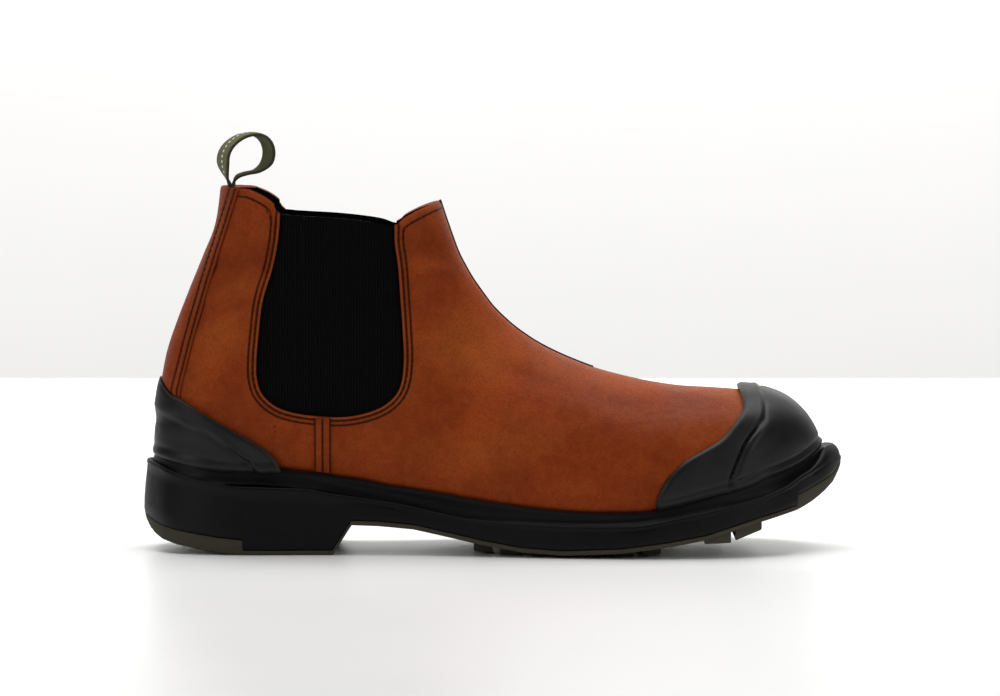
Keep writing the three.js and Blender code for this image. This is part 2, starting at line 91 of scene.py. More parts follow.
class BootSizes(bpy.types.PropertyGroup):
    """Sizes of the last, the sole and the pieces of the upper."""

    last_length: length("Last length", "From the back of the heel to the toe", 0.2875)
    ball_width: length("Ball width", "Width at the ball of the foot", 0.101)
    shaft_width: length("Shaft width", "Width of the shaft", 0.069)
    seat_height: length("Seat height", "From the floor to the seat of the heel", 0.031)
    instep_rise: length("Instep rise", "From the seat to the front of the ankle", 0.072)
    shaft_rise: length("Shaft rise", "From the ankle's front to the back of the collar", 0.057)
    heel_overhang: length("Heel overhang", "How far the sole stands out behind the last", 0.007)
    toe_overhang: length("Toe overhang", "How far the sole stands out in front of the last", 0.0115)
    clearance: length("Clearance", "Between one piece and the next", 0.0003)
    leather: length("Leather", "Thickness of the upper's wall with its lining", 0.0019)
    roll: length("Rolled edge", "Width of a folded edge of the leather", 0.0024)
    elastic: length("Elastic", "Thickness of the elastic", 0.0014)
    elastic_overlap: length("Elastic overlap", "How far the elastic reaches behind the leather", 0.007)
    cap: length("Toe cap", "Thickness of the toe cap", 0.0026)
    cap_step: length("Cap step", "Height of the cap's raised rim and lip", 0.0006)
    cap_lip: length("Cap lip", "Height of the lip along the foot of the cap", 0.003)
    counter: length("Heel counter", "Thickness of the heel counter", 0.0023)
    counter_step: length("Counter step", "Height of the band along the counter's edge", 0.0007)
    strip_height: length("Strip height", "How far backstay and side seams stand out from the leather", 0.001)
    inner_row: length("Inner row", "From the elastic's opening to the first row of stitches", 0.0015)
    outer_row: length("Outer row", "From the leather's edge to the second row of stitches", 0.0035)
    strip_row: length("Strip row", "From the backstay's edge to its first row of stitches", 0.0012)
    strip_gap: length("Strip gap", "From the backstay's first row of stitches to its second", 0.0024)
    seam_width: length("Seam width", "Width of the side seams", 0.007)
    rand: length("Rand", "Thickness of the rand", 0.0022)
    sole_layer: length("Sole layer", "Thickness of the olive layer under the sole", 0.002)
    tread_margin: length("Tread margin", "From the sole's edge to the bars", 0.01)
    heel_groove: length("Heel groove", "Width of the grooves across the heel", 0.004)
    heel_groove_depth: length("Heel groove depth", "Depth of the grooves across the heel", 0.0014)
    tape: length("Tape", "Thickness of the pull loop's tape", 0.0012)
    tape_width: length("Tape width", "Width of the pull loop's tape", 0.014)
    loop_length: length("Loop length", "Length of the pull loop, seen from the side", 0.02)
    loop_height: length("Loop height", "Height of the pull loop over the collar", 0.022)
    stitch: length("Stitch", "Length of a stitch", 0.0021)
    stitch_pitch: length("Stitch pitch", "From one stitch to the next", 0.0028)
    thread: length("Thread", "Diameter of the thread", 0.0006)
    front_cord: length("Front cord", "Diameter of the dark cord in the front seam", 0.0011)
    skin_grid: length("Skin grid", "Spacing of the leather's points", 0.0017)
    rubber_grid: length("Rubber grid", "Spacing of the points of cap and counter", 0.0009)
    sole_grid: length("Sole grid", "Spacing of the sole's stations", 0.0013)


class BootColours(bpy.types.PropertyGroup):
    """Colours of the materials."""

    leather: colour("Leather", "The leather's middle tone", (0.262, 0.041, 0.0095))
    # The pale colour serves for paler spots of the leather and for painted highlights and sheen; the dark
    # colour for darker spots and pores and for painted shade and painted shadow lines.
    leather_pale_and_highlight: colour("Pale leather", "Where the leather is stretched or rubbed", (0.42, 0.118, 0.022))
    leather_dark_and_shade: colour("Dark leather", "Where the leather's oil has gathered", (0.14, 0.02, 0.005))
    # The colour of the painted highlight along the folded edges.
    edge: colour("Leather edge", "The folded edges", (0.3, 0.075, 0.022))
    thread: colour("Thread", "The stitches", (0.022, 0.006, 0.003))
    elastic: colour("Elastic", "The elastic sides", (0.0018, 0.0014, 0.0016))
    lining: colour("Lining", "The textile inside", (0.003, 0.003, 0.003))
    rubber: colour("Rubber", "Toe cap and heel counter", (0.006, 0.006, 0.0058))
    sole: colour("Sole", "The black sole", (0.0026, 0.0025, 0.0025))
    tread: colour("Tread", "The olive layer and its lugs", (0.034, 0.031, 0.02))
    webbing: colour("Webbing", "The pull loop", (0.1, 0.1, 0.052))
    dots: colour("Dots", "The woven dots on the pull loop", (0.8, 0.8, 0.72))
    floor: colour("Floor", "The table top", (0.91, 0.91, 0.905))
    wall: colour("Wall", "The backdrop", (0.8, 0.795, 0.785))


def sizes():
    """The scene's sizes."""
    return bpy.context.scene.boot_sizes


def colours():
    """The scene's colours."""
    return bpy.context.scene.boot_colours


# Tables

def table(heading, *rows):
    """A table's columns, by the names in its heading."""
    return {name: np.array(column, float) for name, column in zip(heading.split(), zip(*rows))}


# Sections of the last, which turn like a fan from above the collar, round the ankle, to the toe. Each runs
# from its back or bottom point to its front or top point, in shares of the last's length and in levels, and
# is outer and inner wide to its two sides, as shares of the shaft's width or, on the foot, of the ball's.
SECTION_HEADING = "back_x back_z front_x front_z outer inner belly back_power front_power"
SHAFT_SECTIONS = table(
    SECTION_HEADING,
    (0.101, 3.228, 0.407, 3.14, 0.5, 0.5, 0.48, 2.4, 2.1),
    (0.096, 2.996, 0.425, 2.891, 0.5, 0.5, 0.48, 2.4, 2.1),
    (0.087, 2.688, 0.435, 2.74, 0.493, 0.493, 0.48, 2.4, 2.1),
    (0.068, 2.442, 0.444, 2.609, 0.486, 0.486, 0.48, 2.5, 2.1),
    (0.047, 2.182, 0.454, 2.474, 0.478, 0.478, 0.48, 2.6, 2.1),
    (0.028, 1.949, 0.465, 2.365, 0.478, 0.478, 0.48, 2.7, 2.1),
    (0.013, 1.768, 0.475, 2.277, 0.478, 0.478, 0.47, 2.8, 2.1),
    (0.004, 1.572, 0.486, 2.196, 0.481, 0.481, 0.46, 2.9, 2.1),
    (0.0, 1.378, 0.496, 2.126, 0.486, 0.486, 0.45, 3, 2.1),
    (0.001, 1.194, 0.506, 2.06, 0.49, 0.49, 0.43, 3, 2.1),
    (0.021, 1.042, 0.517, 2.002, 0.493, 0.493, 0.41, 3, 2.1),
    (0.08, 0.994, 0.528, 1.96, 0.493, 0.493, 0.38, 3, 2.1),
)
FOOT_SECTIONS = table(
    SECTION_HEADING,
    (0.167, 0.968, 0.54, 1.919, 0.34, 0.332, 0.35, 3, 2.1),
    (0.254, 0.897, 0.554, 1.878, 0.347, 0.332, 0.33, 3, 2.1),
    (0.334, 0.781, 0.571, 1.833, 0.366, 0.347, 0.31, 3, 2.1),
    (0.41, 0.639, 0.595, 1.781, 0.396, 0.371, 0.3, 3, 2.1),
    (0.487, 0.503, 0.626, 1.725, 0.436, 0.411, 0.3, 3, 2.1),
    (0.56, 0.406, 0.664, 1.668, 0.48, 0.455, 0.3, 3, 2.1),
    (0.63, 0.361, 0.706, 1.622, 0.51, 0.48, 0.3, 3, 2.15),
    (0.696, 0.361, 0.748, 1.586, 0.515, 0.485, 0.3, 3, 2.2),
    (0.758, 0.403, 0.793, 1.56, 0.5, 0.48, 0.31, 3, 2.25),
    (0.817, 0.5, 0.838, 1.549, 0.47, 0.46, 0.33, 3, 2.3),
    (0.866, 0.619, 0.88, 1.536, 0.441, 0.439, 0.36, 3, 2.35),
    (0.908, 0.761, 0.918, 1.517, 0.391, 0.398, 0.39, 3, 2.4),
    (0.943, 0.923, 0.951, 1.467, 0.317, 0.337, 0.42, 2.8, 2.4),
    (0.97, 1.042, 0.976, 1.381, 0.228, 0.257, 0.45, 2.6, 2.4),
    (0.988, 1.111, 0.991, 1.289, 0.139, 0.163, 0.48, 2.4, 2.3),
    (0.998, 1.153, 0.998, 1.215, 0.059, 0.074, 0.5, 2.2, 2.2),
    (1.0, 1.178, 1.0, 1.188, 0, 0, 0.5, 2.2, 2.2),
)

# The sole's outline: half widths as shares of the ball's width, at shares of the sole's length.
OUTLINE = table(
    "at outer inner",
    (0.03, 0.233, 0.233),
    (0.065, 0.312, 0.312),
    (0.1, 0.351, 0.35),
    (0.16, 0.374, 0.369),
    (0.25, 0.367, 0.354),
    (0.34, 0.37, 0.345),
    (0.42, 0.398, 0.378),
    (0.5, 0.452, 0.43),
    (0.58, 0.51, 0.482),
    (0.66, 0.545, 0.513),
    (0.74, 0.55, 0.525),
    (0.82, 0.51, 0.505),
    (0.88, 0.446, 0.46),
    (0.92, 0.371, 0.391),
    (0.96, 0.238, 0.267),
    (0.985, 0.129, 0.158),
)
TOE_TIP_INNER = 0.015

# Lines along the sole, each a level at a share of its length.
RAND_LINE = table(
    "at level",
    (0, 1.194), (0.036, 1.153), (0.095, 1.104), (0.147, 1.09), (0.199, 1.097), (0.265, 1.064),
    (0.337, 1.015), (0.408, 0.929), (0.48, 0.813), (0.552, 0.723), (0.624, 0.671), (0.709, 0.677),
    (0.758, 0.755), (0.82, 0.91), (0.873, 1.033), (0.899, 1.074), (0.927, 1.119), (0.954, 1.181),
    (0.974, 1.215), (1, 1.222),
)
GROOVE_LINE = table(
    "at level",
    (0, 1.118), (0.02, 1.097), (0.039, 1.067), (0.078, 1.021), (0.111, 0.997), (0.141, 0.965),
    (0.229, 0.935), (0.265, 0.877), (0.32, 0.794), (0.373, 0.71), (0.461, 0.532), (0.539, 0.481),
    (0.611, 0.458), (0.68, 0.461), (0.709, 0.477), (0.755, 0.561), (0.82, 0.697), (0.878, 0.839),
    (0.927, 1.017), (0.954, 1.079), (0.971, 1.131), (0.984, 1.181), (1, 1.194),
)
TREAD_LINE = table(
    "at level layers",
    (0, 0.532, 0.2), (0.003, 0.43, 1.1), (0.01, 0.326, 2.1), (0.018, 0.25, 2.7), (0.029, 0.186, 3.05),
    (0.05, 0.128, 3.15), (0.078, 0.082, 3.2), (0.11, 0.035, 3.2), (0.144, 0.003, 3.2),
    (0.1445, 0, 1), (0.272, 0, 1), (0.276, 0.065, 1), (0.299, 0.419, 1), (0.337, 0.406, 1),
    (0.386, 0.365, 1), (0.484, 0.161, 1), (0.539, 0.071, 1), (0.598, 0.039, 1), (0.68, 0.074, 1),
    (0.745, 0.158, 1), (0.801, 0.255, 1), (0.876, 0.481, 1), (0.932, 0.625, 1), (0.933, 0.628, 3.2),
    (0.943, 0.668, 3.2), (0.954, 0.722, 3.1), (0.965, 0.79, 2.8), (0.975, 0.861, 2.4), (0.987, 0.962, 1.9),
    (0.996, 1.044, 1.3), (1, 1.076, 1),
)

# The heel's flat face, between two shares of the sole's length.
HEEL_FLAT = (0.147, 0.272)

# Lines on the upper, seen from the side, each a level at a share of the last's length.
COLLAR_LINE = table(
    "at level",
    (0.096, 2.982), (0.133, 2.974), (0.147, 2.954), (0.163, 2.916), (0.177, 2.863), (0.186, 2.804),
    (0.273, 2.772), (0.335, 2.737), (0.36, 2.702), (0.374, 2.754), (0.394, 2.809), (0.413, 2.851),
    (0.428, 2.877),
)
GUSSET_LINE = table(
    "at level",
    (0.186, 2.796), (0.183, 2.596), (0.174, 2.365), (0.16, 2.135), (0.154, 1.924), (0.15, 1.743),
    (0.151, 1.622), (0.16, 1.531), (0.182, 1.458), (0.212, 1.421), (0.25, 1.403), (0.289, 1.403),
    (0.327, 1.439), (0.353, 1.5), (0.368, 1.592), (0.373, 1.744), (0.371, 1.928), (0.368, 2.14),
    (0.365, 2.368), (0.36, 2.561), (0.36, 2.702),
)
CAP_LINE = table(
    "at level",
    (0.873, 1.58), (0.883, 1.5), (0.884, 1.439), (0.878, 1.394), (0.866, 1.337), (0.848, 1.267),
    (0.822, 1.208), (0.797, 1.153), (0.777, 1.083), (0.762, 1.007), (0.754, 0.871), (0.751, 0.774),
)
DOME_LINE = table(
    "at level",
    (0.906, 1.597), (0.912, 1.486), (0.912, 1.41), (0.908, 1.354), (0.886, 1.247), (0.871, 1.126),
    (0.857, 0.958), (0.852, 0.71),
)

# The level at which the cap's raised rim ends.
RIM_FOOT = 1.35
COUNTER_LINE = table(
    "at level",
    (0.005, 1.628), (0.008, 1.592), (0.024, 1.522), (0.037, 1.5), (0.059, 1.447), (0.086, 1.383),
    (0.109, 1.332), (0.157, 1.226), (0.176, 1.165), (0.192, 1.086),
)
COUNTER_BAND_LINE = table(
    "at level",
    (-0.009, 1.485), (0.003, 1.435), (0.054, 1.336), (0.08, 1.31), (0.118, 1.201), (0.142, 1.142),
    (0.155, 1.086),
)
BACKSTAY_LINE = table("at level", (0.125, 2.977), (0.035, 1.55))

# Where the side seams start, as a share of the last's length, and where the front seam ends.
SEAM_START = 0.238
FRONT_SEAM_END = 0.66

# Where rows of stitches end: levels, and along the collar shares of the last's length.
GUSSET_STITCH_TOP = 2.78
BACKSTAY_STITCHES = (1.62, 2.93)
SEAM_STITCH_TOP = 1.385
COLLAR_STITCHES = (0.13, 0.426)

# The pull loop's middle line, seen from the side.
LOOP = table(
    "forward up",
    (0.13, -0.6), (0.15, -0.3), (0.15, -0.02), (0.07, 0.18), (0, 0.42), (0.02, 0.64), (0.16, 0.84),
    (0.42, 0.99), (0.72, 1.02), (0.92, 0.9), (1, 0.68), (0.94, 0.45), (0.74, 0.3), (0.5, 0.25),
    (0.32, 0.19), (0.235, 0.09), (0.225, -0.03), (0.225, -0.31), (0.205, -0.61),
)

# How far the loop turns its near edge forward, as a share of its length.
LOOP_TURN = 0.27

# Bars across the tread.
BARS = table(
    "start end margin start_level end_level",
    (0.472, 0.498, 1, 0.05, 0.03),
    (0.51, 0.538, 1, 0, 0),
    (0.55, 0.578, 1, 0, 0),
    (0.59, 0.618, 1, 0, 0),
    (0.63, 0.658, 1, 0, 0),
    (0.67, 0.698, 1, 0, 0),
    (0.71, 0.736, 1, 0.02, 0.04),
    (0.797, 0.835, 0.1, 0.2, 0.21),
    (0.841, 0.879, 0.1, 0.24, 0.38),
)

# Soft creases of the leather, seen from the side: where the middle lies, the slope in degrees, half length
# and half width as shares of the last's length, the depth in leather thicknesses, less than 0 for a ridge,
# and how much of it shows on the inner side.
CREASES = table(
    "at level slope long wide depth inner",
    (0.405, 2.5, -32, 0.03, 0.016, 0.75, 0.5),
    (0.42, 2.36, -34, 0.045, 0.018, -0.35, 0.6),
    (0.43, 2.16, -38, 0.06, 0.02, 0.3, 0.8),
    (0.475, 1.98, -42, 0.07, 0.02, -0.25, 0.7),
    (0.555, 1.64, -28, 0.05, 0.018, 0.4, 0.6),
    (0.62, 1.5, -18, 0.07, 0.022, -0.25, 0.8),
    (0.7, 1.46, -12, 0.06, 0.016, 0.28, 0.9),
    (0.8, 1.49, -6, 0.05, 0.018, 0.34, 0.9),
    (0.76, 1.28, 22, 0.06, 0.02, -0.22, 0.6),
    (0.6, 1.15, 8, 0.09, 0.03, 0.2, 0.5),
    (0.115, 2.4, 6, 0.05, 0.012, 0.42, 0.7),
    (0.12, 2.25, 10, 0.05, 0.014, -0.3, 0.8),
    (0.1, 2.05, 14, 0.05, 0.013, 0.28, 0.6),
    (0.105, 1.7, -20, 0.04, 0.02, 0.22, 0.5),
    (0.41, 1.75, 60, 0.05, 0.022, 0.3, 0.6),
    (0.33, 1.24, 6, 0.07, 0.022, -0.2, 0.6),
)

# Soft folds of the heel counter, in the same columns.
COUNTER_CREASES = table(
    "at level slope long wide depth inner",
    (0.012, 1.37, 4, 0.045, 0.012, 0.3, 0.8),
    (0.03, 1.43, -6, 0.05, 0.012, -0.22, 0.8),
    (0.06, 1.24, -14, 0.07, 0.016, 0.16, 1),
)

# Tones of the leather, its own lighter and darker patches and a painted sheen, in the same columns: depth is
# how pale the leather is, less than 0 where it is dark.
TONES_AND_SHEEN = table(
    "at level slope long wide depth inner",
    (0.085, 2.42, -10, 0.05, 0.035, -0.4, 0.6),
    (0.1, 2.75, 0, 0.05, 0.02, -0.3, 0.5),
    (0.1, 1.9, 70, 0.09, 0.03, 0.25, 0.5),
    (0.03, 2.0, 66, 0.1, 0.02, -0.25, 0.6),
    (0.13, 1.5, -30, 0.05, 0.02, -0.25, 0.4),
    (0.42, 2.62, 0, 0.03, 0.02, -0.3, 0.5),
    (0.43, 2.25, 60, 0.07, 0.03, -0.3, 0.6),
    (0.4, 1.7, 50, 0.08, 0.025, 0.25, 0.5),
    (0.5, 1.7, -30, 0.09, 0.03, 0.3, 0.5),
    (0.6, 1.52, -16, 0.09, 0.03, -0.28, 0.7),
    (0.52, 1.2, 10, 0.12, 0.04, 0.22, 0.6),
    (0.7, 1.33, -10, 0.08, 0.04, -0.32, 0.6),
    (0.8, 1.46, -5, 0.06, 0.03, -0.3, 0.7),
    (0.73, 1.0, 20, 0.05, 0.03, -0.3, 0.4),
)


def height(level):
    """A level's height: 0 the floor, 1 the seat, 2 the front of the ankle, 3 the back of the collar."""
    size = sizes()
    rises = [0, size.seat_height, size.instep_rise, size.shaft_rise, size.shaft_rise]
    return np.interp(level, range(len(rises)), np.cumsum(rises))


def along_last(share):
    """The place of a share of the last's length from its heel."""
    return cad_low.x + sizes().heel_overhang + share * sizes().last_length


def along_sole(share):
    """The place of a share of the sole's length from its heel."""
    size = sizes()
    return cad_low.x + share * (size.heel_overhang + size.last_length + size.toe_overhang)


def smooth(column, place):
    """A column's value at row numbers that may lie between rows, on a smooth curve through them."""
    start = np.clip(np.floor(place).astype(int), 0, len(column) - 2)
    t = place - start
    a, b, c, d = (column[np.clip(start + step, 0, len(column) - 1)] for step in (-1, 0, 1, 2))
    slope_in = (c - a) / 2
    slope_out = (d - b) / 2
    bend = 2 * (b - c) + slope_in + slope_out
    return b + t * (slope_in + t * (c - b - slope_in - bend + t * bend))


def bell(value, middle, width):
    """A soft bump of height 1 round a middle value."""
    return np.exp(-(((value - middle) / width) ** 2))


def ramp(value, low, high):
    """0 below low, 1 above high, and a soft step between them."""
    t = np.clip((value - low) / (high - low), 0, 1)
    return t * t * (3 - 2 * t)


def rounded(distance, depth, width):
    """How far a rounded edge falls, at a distance from the edge."""
    return depth * np.clip(1 - distance / width, 0, 1) ** 2


def walked_along(line):
    """The distance walked to each point of a line."""
    return np.concatenate([[0], np.cumsum(np.linalg.norm(np.diff(line, axis=0), axis=1))])


def grid_row(place, count):
    """The row of a grid of size 1, with a count of rows, on which a vertex lies."""
    return round((place + 0.5) * (count - 1))


# The last's skin

def sections():
    """The sections of the last in metres."""
    columns = {}
    for name in SHAFT_SECTIONS:
        shaft, foot = SHAFT_SECTIONS[name], FOOT_SECTIONS[name]
        if name in ("outer", "inner"):
            shaft, foot = shaft * sizes().shaft_width, foot * sizes().ball_width
        column = np.concatenate([shaft, foot])
        if name.endswith("_x"):
            column = along_last(column)
        if name.endswith("_z"):
            column = height(column)
        columns[name] = column
    return columns


LAST_PLACE = len(SHAFT_SECTIONS["belly"]) + len(FOOT_SECTIONS["belly"]) - 1.0

# The row numbers of the sections between which each piece lies.
PLACES = {
    "upper": (0, LAST_PLACE),
    "elastic": (0, 16),
    "toe cap": (17, LAST_PLACE),
    "counter": (3, 14),
    "backstay": (0, 10),
    "side seam": (8, 18),
    "rand": (3, LAST_PLACE),
}

# The rand leaves the underside free in front of this row number, past this turn.
RAND_TOE_PLACE = 22
RAND_TOE_TURN = 0.78


def last_points(place, turn):
    """Points on the last's skin. place is a row number of the sections. turn is 0 on the front or top
    ridge, 1 on the back or bottom line by way of the outer side, and -1 there by way of the inner side."""
    value = {name: smooth(column, place) for name, column in sections().items()}
    c, s = np.cos(np.pi * turn), np.sin(np.pi * turn)
    front = c > 0
    power = np.where(front, value["front_power"], value["back_power"])
    size = (np.abs(c) ** power + np.abs(s) ** power) ** (-1 / power)
    middle_x = value["back_x"] + value["belly"] * (value["front_x"] - value["back_x"])
    middle_z = value["back_z"] + value["belly"] * (value["front_z"] - value["back_z"])
    reach = np.abs(c) * size
    x = middle_x + reach * (np.where(front, value["front_x"], value["back_x"]) - middle_x)
    z = middle_z + reach * (np.where(front, value["front_z"], value["back_z"]) - middle_z)
    y = np.where(s > 0, -value["outer"], value["inner"]) * np.abs(s) * size
    return np.stack([x, y, z], axis=-1)


def last_normals(place, turn):
    """The outward directions of the last's skin."""
    step = 2e-3
    place = np.clip(place, step, LAST_PLACE - step)
    along = last_points(place + step, turn) - last_points(place - step, turn)
    around = last_points(place, turn + step) - last_points(place, turn - step)
    normal = np.cross(around, along)
    return normal / np.linalg.norm(normal, axis=-1, keepdims=True)


def on_side(points, side):
    """The place and turn of side-view points [x, z] on the last's outer (1) or inner (-1) side."""
    fine = np.linspace(0, LAST_PLACE - 0.01, 1500)
    value = {name: smooth(column, fine)[None] for name, column in sections().items()}
    run_x, run_z = value["front_x"] - value["back_x"], value["front_z"] - value["back_z"]
    to_x, to_z = points[:, :1] - value["back_x"], points[:, 1:] - value["back_z"]
    across = run_x * to_z - run_z * to_x
    along = (run_x * to_x + run_z * to_z) / (run_x**2 + run_z**2)
    usable = (across[:, :-1] * across[:, 1:] <= 0) & (along[:, 1:] > -0.1) & (along[:, 1:] < 1.1)
    first = usable.argmax(axis=1)
    rows = np.arange(len(points))
    low, high = across[rows, first], across[rows, first + 1]
    share = low / np.where(low == high, 1, low - high)
    place = fine[first] + share * (fine[1] - fine[0])
    here = {name: smooth(column, place) for name, column in sections().items()}
    off_belly = along[rows, first] + share * (along[rows, first + 1] - along[rows, first]) - here["belly"]
    front = off_belly > 0
    reach = np.clip(np.where(front, off_belly / (1 - here["belly"]), -off_belly / here["belly"]), 0, 0.9995)
    power = np.where(front, here["front_power"], here["back_power"])
    width = (1 - reach**power) ** (1 / power)
    turn = np.arctan2(width, np.where(front, reach, -reach)) / np.pi
    return place, side * turn


def side_line(rows, along=along_last, bends=4):
    """A table's line, seen from the side, as points [x, z]."""
    count = (len(rows["at"]) - 1) * bends + 1
    place = np.linspace(0, len(rows["at"]) - 1, count)
    return np.stack([along(smooth(rows["at"], place)), height(smooth(rows["level"], place))], axis=-1)


def over(points, line, lift=0.0):
    """How far points lie above a line that runs from the heel to the toe, square to it."""
    slope = np.interp(points[:, 0], line[:, 0], np.gradient(line[:, 1], line[:, 0]))
    gap = points[:, 1] - lift - np.interp(points[:, 0], *line.T)
    return gap / np.hypot(1, slope)


def ahead(points, line):
    """How far points lie in front of a line that runs down, square to it."""
    down = -line[:, 1]
    slope = np.interp(-points[:, 1], down, np.gradient(line[:, 0], down))
    gap = points[:, 0] - np.interp(-points[:, 1], down, line[:, 0])
    return gap / np.hypot(1, slope)


def grown(line, distance):
    """A line moved outward, square to itself."""
    run = np.gradient(line, axis=0)
    run /= np.linalg.norm(run, axis=1, keepdims=True)
    return line + distance * np.stack([run[:, 1], -run[:, 0]], axis=-1)


def inside(points, outline, reach=0.02):
    """How far points lie inside an outline, seen from the side, and less than 0 outside it, up to a reach."""
    found = np.full(len(points), -reach)
    near = np.all((points > outline.min(axis=0) - reach) & (points < outline.max(axis=0) + reach), axis=1)
    edge = np.roll(outline, -1, axis=0) - outline
    span = np.maximum((edge**2).sum(axis=1), 1e-18)
    rise = np.where(edge[:, 1] == 0, 1, edge[:, 1])
    tops = np.roll(outline[:, 1], -1)
    for part in np.array_split(np.flatnonzero(near), 1 + near.sum() // 4000):
        to = points[part, None, :] - outline
        share = np.clip((to * edge).sum(axis=2) / span, 0, 1)
        gap = np.linalg.norm(to - share[..., None] * edge, axis=2).min(axis=1)
        level = points[part, 1:]
        crossed = (outline[:, 1] > level) != (tops > level)
        odd = (crossed & (to[..., 0] < to[..., 1] / rise * edge[:, 0])).sum(axis=1) % 2 == 1
        found[part] = np.where(odd, gap, -gap)
    return found


def open_to_top(line):
    """An outline from a line that runs down, round and up again."""
    return np.vstack([line, [line[-1, 0], FAR], [line[0, 0], FAR]])


def gusset_outline():
    """The opening for the elastic."""
    return open_to_top(side_line(GUSSET_LINE))


def rand_line():
    """The rand's upper edge."""
    return side_line(RAND_LINE, along_sole)


def bottom_line():
    """The line along the bottom of the last, from the heel to the toe."""
    value = sections()
    start = len(SHAFT_SECTIONS["belly"]) - 2
    place = np.linspace(start, LAST_PLACE, 160)
    return np.stack([smooth(value["back_x"], place), smooth(value["back_z"], place)], axis=-1)


# Meshes on the last

def trimmed_grid(places, turns, spacing, depth):
    """A grid of (place, turn, 0), about evenly spaced on the last, cut off where depth(place, turn) is less
    than 0, with its outermost points on the cut."""
    fine = np.linspace(*places, 300)
    spread = np.zeros(len(fine) - 1)
    for share in (0, 0.25, 0.5, 0.75, 1):
        turn = np.full(len(fine), turns[0] + share * (turns[1] - turns[0]))
        spread = np.maximum(spread, np.linalg.norm(np.diff(last_points(fine, turn), axis=0), axis=1))
    walked = np.concatenate([[0], np.cumsum(spread)])
    girths = []
    for place in fine[::20]:
        ring = last_points(np.full(100, place), np.linspace(*turns, 100))
        girths.append(np.linalg.norm(np.diff(ring, axis=0), axis=1).sum())
    grid = bmesh.new()
    bmesh.ops.create_grid(
        grid,
        x_segments=math.ceil(walked[-1] / spacing),
        y_segments=math.ceil(max(girths) / spacing),
        size=0.5,
    )
    shares = np.array([vertex.co[:2] for vertex in grid.verts]) + 0.5
    place = np.interp(shares[:, 0] * walked[-1], walked, fine)
    turn = turns[0] + shares[:, 1] * (turns[1] - turns[0])
    value = depth(place, turn)
    ends = np.array([[vertex.index for vertex in edge.verts] for edge in grid.edges])
    ends = ends[value[ends[:, 0]] * value[ends[:, 1]] < 0]
    a, b = ends.T

    def between(share):
        return place[a] + share * (place[b] - place[a]), turn[a] + share * (turn[b] - turn[a])

    low, high = np.zeros(len(a)), np.ones(len(a))
    low_value, high_value = value[a], value[b]
    for _ in range(4):
        share = low + (high - low) * low_value / (low_value - high_value)
        here = depth(*between(share))
        same = here * low_value > 0
        low, low_value = np.where(same, share, low), np.where(same, here, low_value)
        high, high_value = np.where(same, high, share), np.where(same, high_value, here)
        low_value = np.where(low_value == 0, 1e-12, low_value)
    cut_place, cut_turn = between(share)
    for k in np.argsort(np.minimum(share, 1 - share)):
        if value[a[k]] * value[b[k]] < 0:
            moved = a[k] if share[k] < 0.5 else b[k]
            place[moved], turn[moved], value[moved] = cut_place[k], cut_turn[k], 0
    grid.verts.ensure_lookup_table()
    for vertex in grid.verts:
        vertex.co = (place[vertex.index], turn[vertex.index], 0)
    for face in list(grid.faces):
        corner = [value[vertex.index] for vertex in face.verts]
        if min(corner) < 0 < max(corner):
            zeros = [vertex for vertex in face.verts if value[vertex.index] == 0]
            if len(zeros) == 2:
                bmesh.utils.face_split(face, *zeros)
    grid.faces.ensure_lookup_table()
    centres = np.array([face.calc_center_median()[:2] for face in grid.faces])
    centre_value = depth(centres[:, 0], centres[:, 1])
    outside = []
    for face, here in zip(list(grid.faces), centre_value):
        corner = [value[vertex.index] for vertex in face.verts]
        if min(corner) < 0 or (max(corner) <= 0 and here < 0):
            outside.append(face)
    bmesh.ops.delete(grid, geom=outside, context="FACES")
    bmesh.ops.reverse_faces(grid, faces=grid.faces)
    return grid


def wrap(name, grid, skin, *materials, pull=None):
    """The piece that a (place, turn) grid becomes on the last. skin(place, turn) gives how far out each point
    lies and the values that the materials read. pull(points) gives how far they then move in plan."""
    mesh = bpy.data.meshes.new(name)
    grid.to_mesh(mesh)
    grid.free()
    flat = np.empty(3 * len(mesh.vertices))
    mesh.vertices.foreach_get("co", flat)
    place, turn, _ = flat.reshape(-1, 3).T
    offset, values = skin(place, turn)
    normals = last_normals(place, turn)
    points = last_points(place, turn) + np.asarray(offset)[..., None] * normals
    if pull:
        level = normals * (1, 1, 0)
        steep = np.linalg.norm(level, axis=1)
        points += (pull(points) * ramp(steep, 0.1, 0.4) / steep)[:, None] * level
    mesh.vertices.foreach_set("co", points.ravel())
    for key, value in values.items():
        mesh.attributes.new(key, "FLOAT", "POINT").data.foreach_set("value", value.astype(np.float32))
    merged = bmesh.new()
    merged.from_mesh(mesh)
    bmesh.ops.remove_doubles(merged, verts=merged.verts, dist=1e-6)
    merged.to_mesh(mesh)
    merged.free()
    return placed(name, mesh, *materials)


def placed(name, mesh, *materials):
    """An object for a mesh, in the scene, with its materials."""
    for material in materials:
        mesh.materials.append(material)
    piece = bpy.data.objects.new(name, mesh)
    bpy.context.scene.collection.objects.link(piece)
    return piece


def thicken(piece, thickness, inner_material=0):
    """Gives a sheet a wall inwards, and marks its sharp edges."""
    solidify = piece.modifiers.new("wall", "SOLIDIFY")
    solidify.thickness = thickness
    solidify.offset = -1
    solidify.material_offset = inner_material
    sharpen(piece)


def sharpen(piece, angle=45):
    """Applies a piece's modifiers and shades it smooth between its sharp edges."""
    bpy.context.view_layer.update()
    shaped = piece.evaluated_get(bpy.context.evaluated_depsgraph_get())
    mesh = bpy.data.meshes.new_from_object(shaped)
    piece.modifiers.clear()
    piece.data = mesh
    mesh.shade_smooth()
    mesh.set_sharp_from_angle(angle=math.radians(angle))


def dress(piece, slot, *nodes):
    """Puts a piece under the root body and hides the solids that it stands for. Its slot is not used."""
    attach(piece, "root")
    if nodes:
        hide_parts(*nodes)


# Materials

